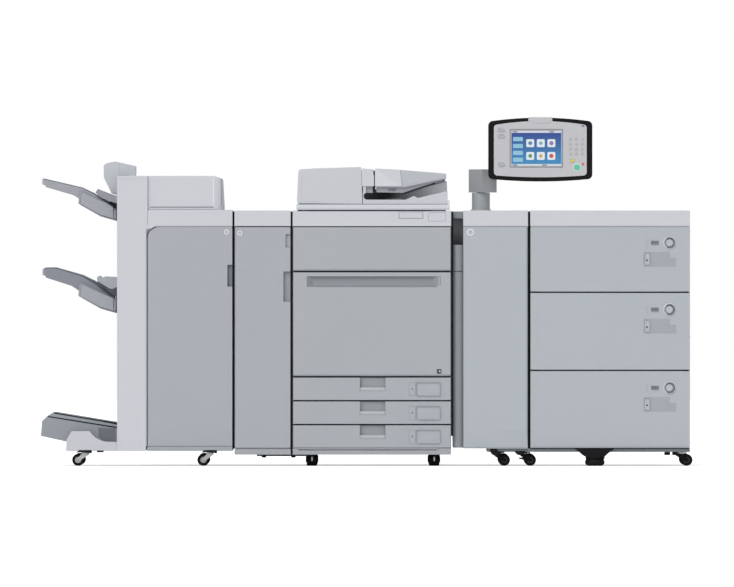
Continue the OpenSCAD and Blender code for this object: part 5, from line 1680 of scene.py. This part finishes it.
class PRINTER_OT_base(bpy.types.Operator):
    """Finishes the plinths, the deck's foot and the casters"""
    bl_idname = "printer.base"
    bl_label = "Base and Casters"

    def execute(self, context):
        plinths = covered("base_plinths", moulded("plinth_grey", srgb(166, 170, 175), 0.45), 1.5)
        deck_side = PASS_X[0]
        painted_faces(plinths, moulded("finisher_foot_grey", srgb(163, 168, 172), 0.5), lambda x,
            y, z, n: x < FINISHER_X[1])
        step = ENGINE_X[0] + 22, ENGINE_X[1] - 54
        painted_faces(plinths, moulded("plinth_shade", srgb(114, 119, 124), 0.5), lambda x, y, z,
            n: x > deck_side)
        # The plinth's recessed step is painted lighter to offset its shade: painted light.
        painted_faces(plinths, moulded("step_lightened_grey", srgb(188, 192, 197), 0.5), lambda x, y, z,
            n: step[0] < x < step[1] and z > 61 and y < 20)
        lip = slab("cassette_foot_lip", (ENGINE_X[0] + 1, ENGINE_X[1] - 1), (5, 31),
            (68.6, reach("cassette_3", 2)[0] - 1.4), 0, 0.5)
        on_row(lip, lip_lightened_grey())
        covered("deck_foot", chassis_black(), 1.2)
        forks = covered("caster_forks", plated("fork_zinc", srgb(196, 198, 200), 0.3), 0.7)
        end_plate = reach("deck_panels", 0)[1] - 44
        painted_faces(forks, chassis_black(), lambda x, y, z,
            n: z > 56.5 or (x > FINISHER_X[1] and not (x > end_plate and z > 48.5)))
        covered("caster_wheels", rubber(), 3.2)
        self.hubs()
        self.under_parts()
        return {"FINISHED"}

    def under_parts(self):
        """The levelling bar under the buffer unit, brake levers, and the fork bolts."""
        bar = slab("levelling_bar", (BUFFER_X[0] + 90, ENGINE_X[0] + 76), (24, 44), (40, 46), 0,
            0.8)
        on_row(bar, chassis_black())
        on_row(slab("levelling_block", (BUFFER_X[0] + 90, BUFFER_X[1]), (24, 44), (45.5, 47), 0,
            0.4), chassis_black())
        for number, x in enumerate((-159, 351)):
            shroud = [(x - 9, 54), (x - 2, 60), (x + 6, 64.6), (x + 56, 64.6), (x + 56, 52.6),
                (x + 45, 51.6), (x + 43, 56), (x + 8, 55.6)]
            front = 10.8 if number == 0 else 0.8
            on_row(outline_y(f"plate_shroud_{number + 1}", shroud, (front, 95), 0.8),
                chassis_black())
        on_row(slab("outrigger_pad", (-82, -55), (10.8, 84), (55.4, 63), 0, 1), chassis_black())
        wheel = PASS_X[0] + 166
        brake = [(wheel - 57, 70), (wheel - 57, 58), (wheel - 50, 47), (wheel - 38, 40.5),
            (wheel - 26, 42), (wheel - 14, 52), (wheel + 1, 54), (wheel + 1, 58), (wheel - 24, 60),
            (wheel - 30, 70)]
        on_row(outline_y("caster_brake_1", brake, (9, 98), 1), chassis_black())
        deck = reach("deck_panels", 0)[0]
        brake = [(deck - 62, 61), (deck - 62, 55), (deck - 54, 46), (deck - 40, 43),
            (deck - 28, 46), (deck - 20, 54), (deck - 20, 61)]
        on_row(outline_y("caster_brake_2", brake, (9, 98), 1), chassis_black())
        pedal = [(deck - 46, 34), (deck - 46, 29), (deck - 24, 24), (deck - 22, 34)]
        on_row(outline_y("caster_pedal", pedal, (66, 94), 1), chassis_black())
        to_deck = (deck - wheel) * MM
        foot_x = DECK_X[0] + 262
        face = [(foot_x - 84, 72.4), (foot_x + 79, 72.4), (foot_x + 74, 67), (foot_x + 47, 45),
            (foot_x + 40, 37), (foot_x - 38, 37), (foot_x - 52, 46), (foot_x - 75, 67)]
        on_row(outline_y("foot_face", face, (1.4, 4), 0.5), chassis_black())
        cap = [(0, 24), (30, 24), (37, 27), (40, 32), (38, 36.5), (33, 40), (0, 40)]
        on_row(lathed("foot_glide_cap", cap, foot_x + 1, 41, 0, "Z", 64), chassis_black())
        collar = lathed("swivel_collars", [(0, 48.8), (13.6, 48.8), (14.8, 49.6), (14.8, 51.8),
            (13.6, 52.6), (0, 52.6)], wheel - 26, 80, 0, "Z", 40)
        to_end = (reach("deck_panels", 0)[1] - 12.5 - wheel) * MM
        on_row(repeated(collar, [(to_deck, 0, 0), (to_end, 0, 0)], "swivel_collars"),
            plated("fork_zinc", srgb(196, 198, 200), 0.3))
        nut = [(0, 34), (8, 34), (9, 35), (9, 41), (0, 41)]
        nuts = lathed("levelling_nuts", nut, BUFFER_X[1] + 12, 38, 0, "Z", 6)
        on_row(repeated(nuts, [(-120 * MM, 0, 0)], "levelling_nuts"), chassis_black())
        lever = outline_x("brake_levers", [(52, 18), (60, 15), (66, 30), (66, 41), (58, 41)],
            (ENGINE_X[0] + 64, ENGINE_X[0] + 90), 1.2)
        across = ENGINE_X[1] - ENGINE_X[0] + 4 - 147
        on_row(repeated(lever, [(across * MM, 0, 0)], "brake_levers"), chassis_black())
        stem = slab("lever_stems", (ENGINE_X[0] + 74, ENGINE_X[0] + 79), (50.6, 54), (20, 37), 1,
            0.6)
        on_row(repeated(stem, [(across * MM, 0, 0)], "lever_stems"),
            plated("fork_zinc", srgb(196, 198, 200), 0.3))

    def hubs(self):
        """Hubs and axle nuts on both sides of each wheel."""
        groups = [("finisher", [(-159, 70), (-159, 720), (351, 70), (351, 720)], 24.5, "Y",
            "pale"), ("engine", [(795, 90), (795, 810), (1290, 90), (1290, 810)], 20, "X", "pale"),
            ("deck", [(1576, 80), (1576, 717), (1682, 80), (1682, 717), (2319.5, 80),
            (2319.5, 717)], 24, "Y", "black"),]
        for name, places, radius, axis, tone in groups:
            hub_r = radius * 0.56
            hub = [(4.2, 9.4), (hub_r * 0.5, 9.6), (hub_r * 0.62, 10.2), (hub_r * 0.86, 10.3),
                (hub_r, 9.8), (hub_r + 0.3, 8.5), (4.2, 8.5)]
            material = (moulded("hub_pale", srgb(188, 190, 192), 0.4) if tone == "pale"
                        else moulded("hub_black", srgb(46, 47, 50), 0.4))
            pieces = []
            for side in (-1, 1):
                profile = [(r, h * side) for r, h in hub]
                pieces.append(lathed(f"{name}_hub_{side + 2}", profile, places[0][0], places[0][1],
                    radius, axis, 32))
            pair = joined(pieces, f"{name}_hubs")
            offsets = [((x - places[0][0]) * MM, (y - places[0][1]) * MM, 0) for x,
                y in places[1:]]
            on_row(repeated(pair, offsets, f"{name}_hubs"), material)
            nut = [(0, 17.6), (3.4, 17.4), (4.4, 16.4), (4.4, 13.6), (0, 13.6)]
            nuts = []
            for side in (-1, 1):
                nuts.append(lathed(f"{name}_nut_{side + 2}", [(r, h * side) for r, h in nut],
                    places[0][0], places[0][1], radius, axis, 6))
            steel = plated("nut_zinc", srgb(176, 178, 180), 0.3)
            on_row(repeated(joined(nuts, f"{name}_nuts"), offsets, f"{name}_nuts"),
                steel if tone == "pale" else chassis_black())


# ---- stage ----

class PRINTER_OT_stage(bpy.types.Operator):
    """Makes the floor, the light and the camera"""
    bl_idname = "printer.stage"
    bl_label = "Stage"

    def execute(self, context):
        self.floor()
        self.world()
        self.lamps()
        self.camera()
        context.scene.view_settings.view_transform = "Standard"
        return {"FINISHED"}

    def floor(self):
        """A white floor that keeps the row's shadow."""
        clear_selection()
        bpy.ops.mesh.primitive_plane_add(size=120, location=(0, 0, 0))
        floor = named("floor")
        material, nodes, link, shader, where = finish_nodes("floor_white")
        speck = noise(nodes, link, where, 3, 2)
        link(tint(nodes, link, speck, srgb(246, 246, 247), srgb(252, 252, 252)),
            shader.inputs["Base Color"])
        shader.inputs["Roughness"].default_value = 0.9
        shader.inputs["Specular IOR Level"].default_value = 0.1
        path = nodes.new("ShaderNodeLightPath")
        seen = nodes.new("ShaderNodeMath")
        seen.operation = "MULTIPLY"
        seen.inputs[1].default_value = 0.45
        link(path.outputs["Is Camera Ray"], seen.inputs[0])
        shader.inputs["Emission Color"].default_value = (1, 1, 1, 1)
        link(seen.outputs["Value"], shader.inputs["Emission Strength"])
        floor.data.materials.append(material)

    def world(self):
        """A studio light that falls off to both sides, and a white background where it is seen."""
        world = bpy.data.worlds.new("studio")
        bpy.context.scene.world = world
        world.use_nodes = True
        nodes, link = world.node_tree.nodes, world.node_tree.links.new
        ground = nodes["Background"]
        ground.inputs["Color"].default_value = (1, 1, 1, 1)
        way = nodes.new("ShaderNodeTexCoord")
        split = nodes.new("ShaderNodeSeparateXYZ")
        link(way.outputs["Generated"], split.inputs["Vector"])
        aside = nodes.new("ShaderNodeMath")
        aside.operation = "ABSOLUTE"
        link(split.outputs["X"], aside.inputs[0])
        fade = nodes.new("ShaderNodeMapRange")
        fade.inputs["From Min"].default_value = 0.3
        fade.inputs["From Max"].default_value = 1.0
        fade.inputs["To Min"].default_value = 0.72
        fade.inputs["To Max"].default_value = 0.3
        link(aside.outputs["Value"], fade.inputs["Value"])
        link(fade.outputs["Result"], ground.inputs["Strength"])
        white = nodes.new("ShaderNodeBackground")
        white.inputs["Color"].default_value = (1, 1, 1, 1)
        white.inputs["Strength"].default_value = 1.0
        path = nodes.new("ShaderNodeLightPath")
        either = nodes.new("ShaderNodeMath")
        either.operation = "MAXIMUM"
        link(path.outputs["Is Camera Ray"], either.inputs[0])
        link(path.outputs["Is Glossy Ray"], either.inputs[1])
        seen = nodes.new("ShaderNodeMath")
        seen.operation = "MAXIMUM"
        link(either.outputs["Value"], seen.inputs[0])
        link(path.outputs["Is Transmission Ray"], seen.inputs[1])
        mix = nodes.new("ShaderNodeMixShader")
        link(seen.outputs["Value"], mix.inputs["Fac"])
        link(ground.outputs["Background"], mix.inputs[1])
        link(white.outputs["Background"], mix.inputs[2])
        link(mix.outputs["Shader"], nodes["World Output"].inputs["Surface"])

    def lamps(self):
        """One broad soft key from the front left."""
        clear_selection()
        bpy.ops.object.light_add(type="SUN", location=(0, 0, 4))
        key = bpy.context.object
        key.name = "key"
        key.data.energy = 1.25
        key.data.angle = math.radians(40)
        key.rotation_euler = Euler((math.radians(48), 0, math.radians(-28)))

    def camera(self):
        """A long lens in front of the row's middle."""
        lens = bpy.data.cameras.new("camera")
        lens.lens = 1205
        lens.sensor_width = 36
        lens.clip_end = 400
        camera = bpy.data.objects.new("camera", lens)
        bpy.context.scene.collection.objects.link(camera)
        camera.location = at(1017.5, -100000, 702)
        camera.rotation_euler = (math.radians(90), 0, 0)
        bpy.context.scene.camera = camera


# ---- the add-on ----

OPERATORS = [PRINTER_OT_finisher, PRINTER_OT_trays, PRINTER_OT_narrow_units, PRINTER_OT_engine,
    PRINTER_OT_feeder, PRINTER_OT_panel, PRINTER_OT_deck, PRINTER_OT_covers, PRINTER_OT_base,
    PRINTER_OT_stage]


class PRINTER_PT_sidebar(bpy.types.Panel):
    """Lists the pieces and their driving sizes and colours"""
    bl_label = "Production Printer"
    bl_idname = "PRINTER_PT_sidebar"
    bl_space_type = "VIEW_3D"
    bl_region_type = "UI"
    bl_category = "Printer"

    def draw(self, context):
        for group in (context.scene.printer_sizes, context.scene.printer_colours):
            for name in group.__annotations__:
                self.layout.prop(group, name)
        for operator in OPERATORS:
            self.layout.operator(operator.bl_idname)


CLASSES = [PrinterSizes, PrinterColours, *OPERATORS, PRINTER_PT_sidebar]


def register():
    """Registers the add-on's classes and its two groups of properties."""
    for one in CLASSES:
        bpy.utils.register_class(one)
    bpy.types.Scene.printer_sizes = PointerProperty(type=PrinterSizes)
    bpy.types.Scene.printer_colours = PointerProperty(type=PrinterColours)


def unregister():
    """Removes what register added."""
    del bpy.types.Scene.printer_colours
    del bpy.types.Scene.printer_sizes
    for one in reversed(CLASSES):
        bpy.utils.unregister_class(one)


def main():
    """Builds every piece in order."""
    register()
    for operator in OPERATORS:
        group, name = operator.bl_idname.split(".")
        getattr(getattr(bpy.ops, group), name)()


if __name__ == "__main__":
    main()
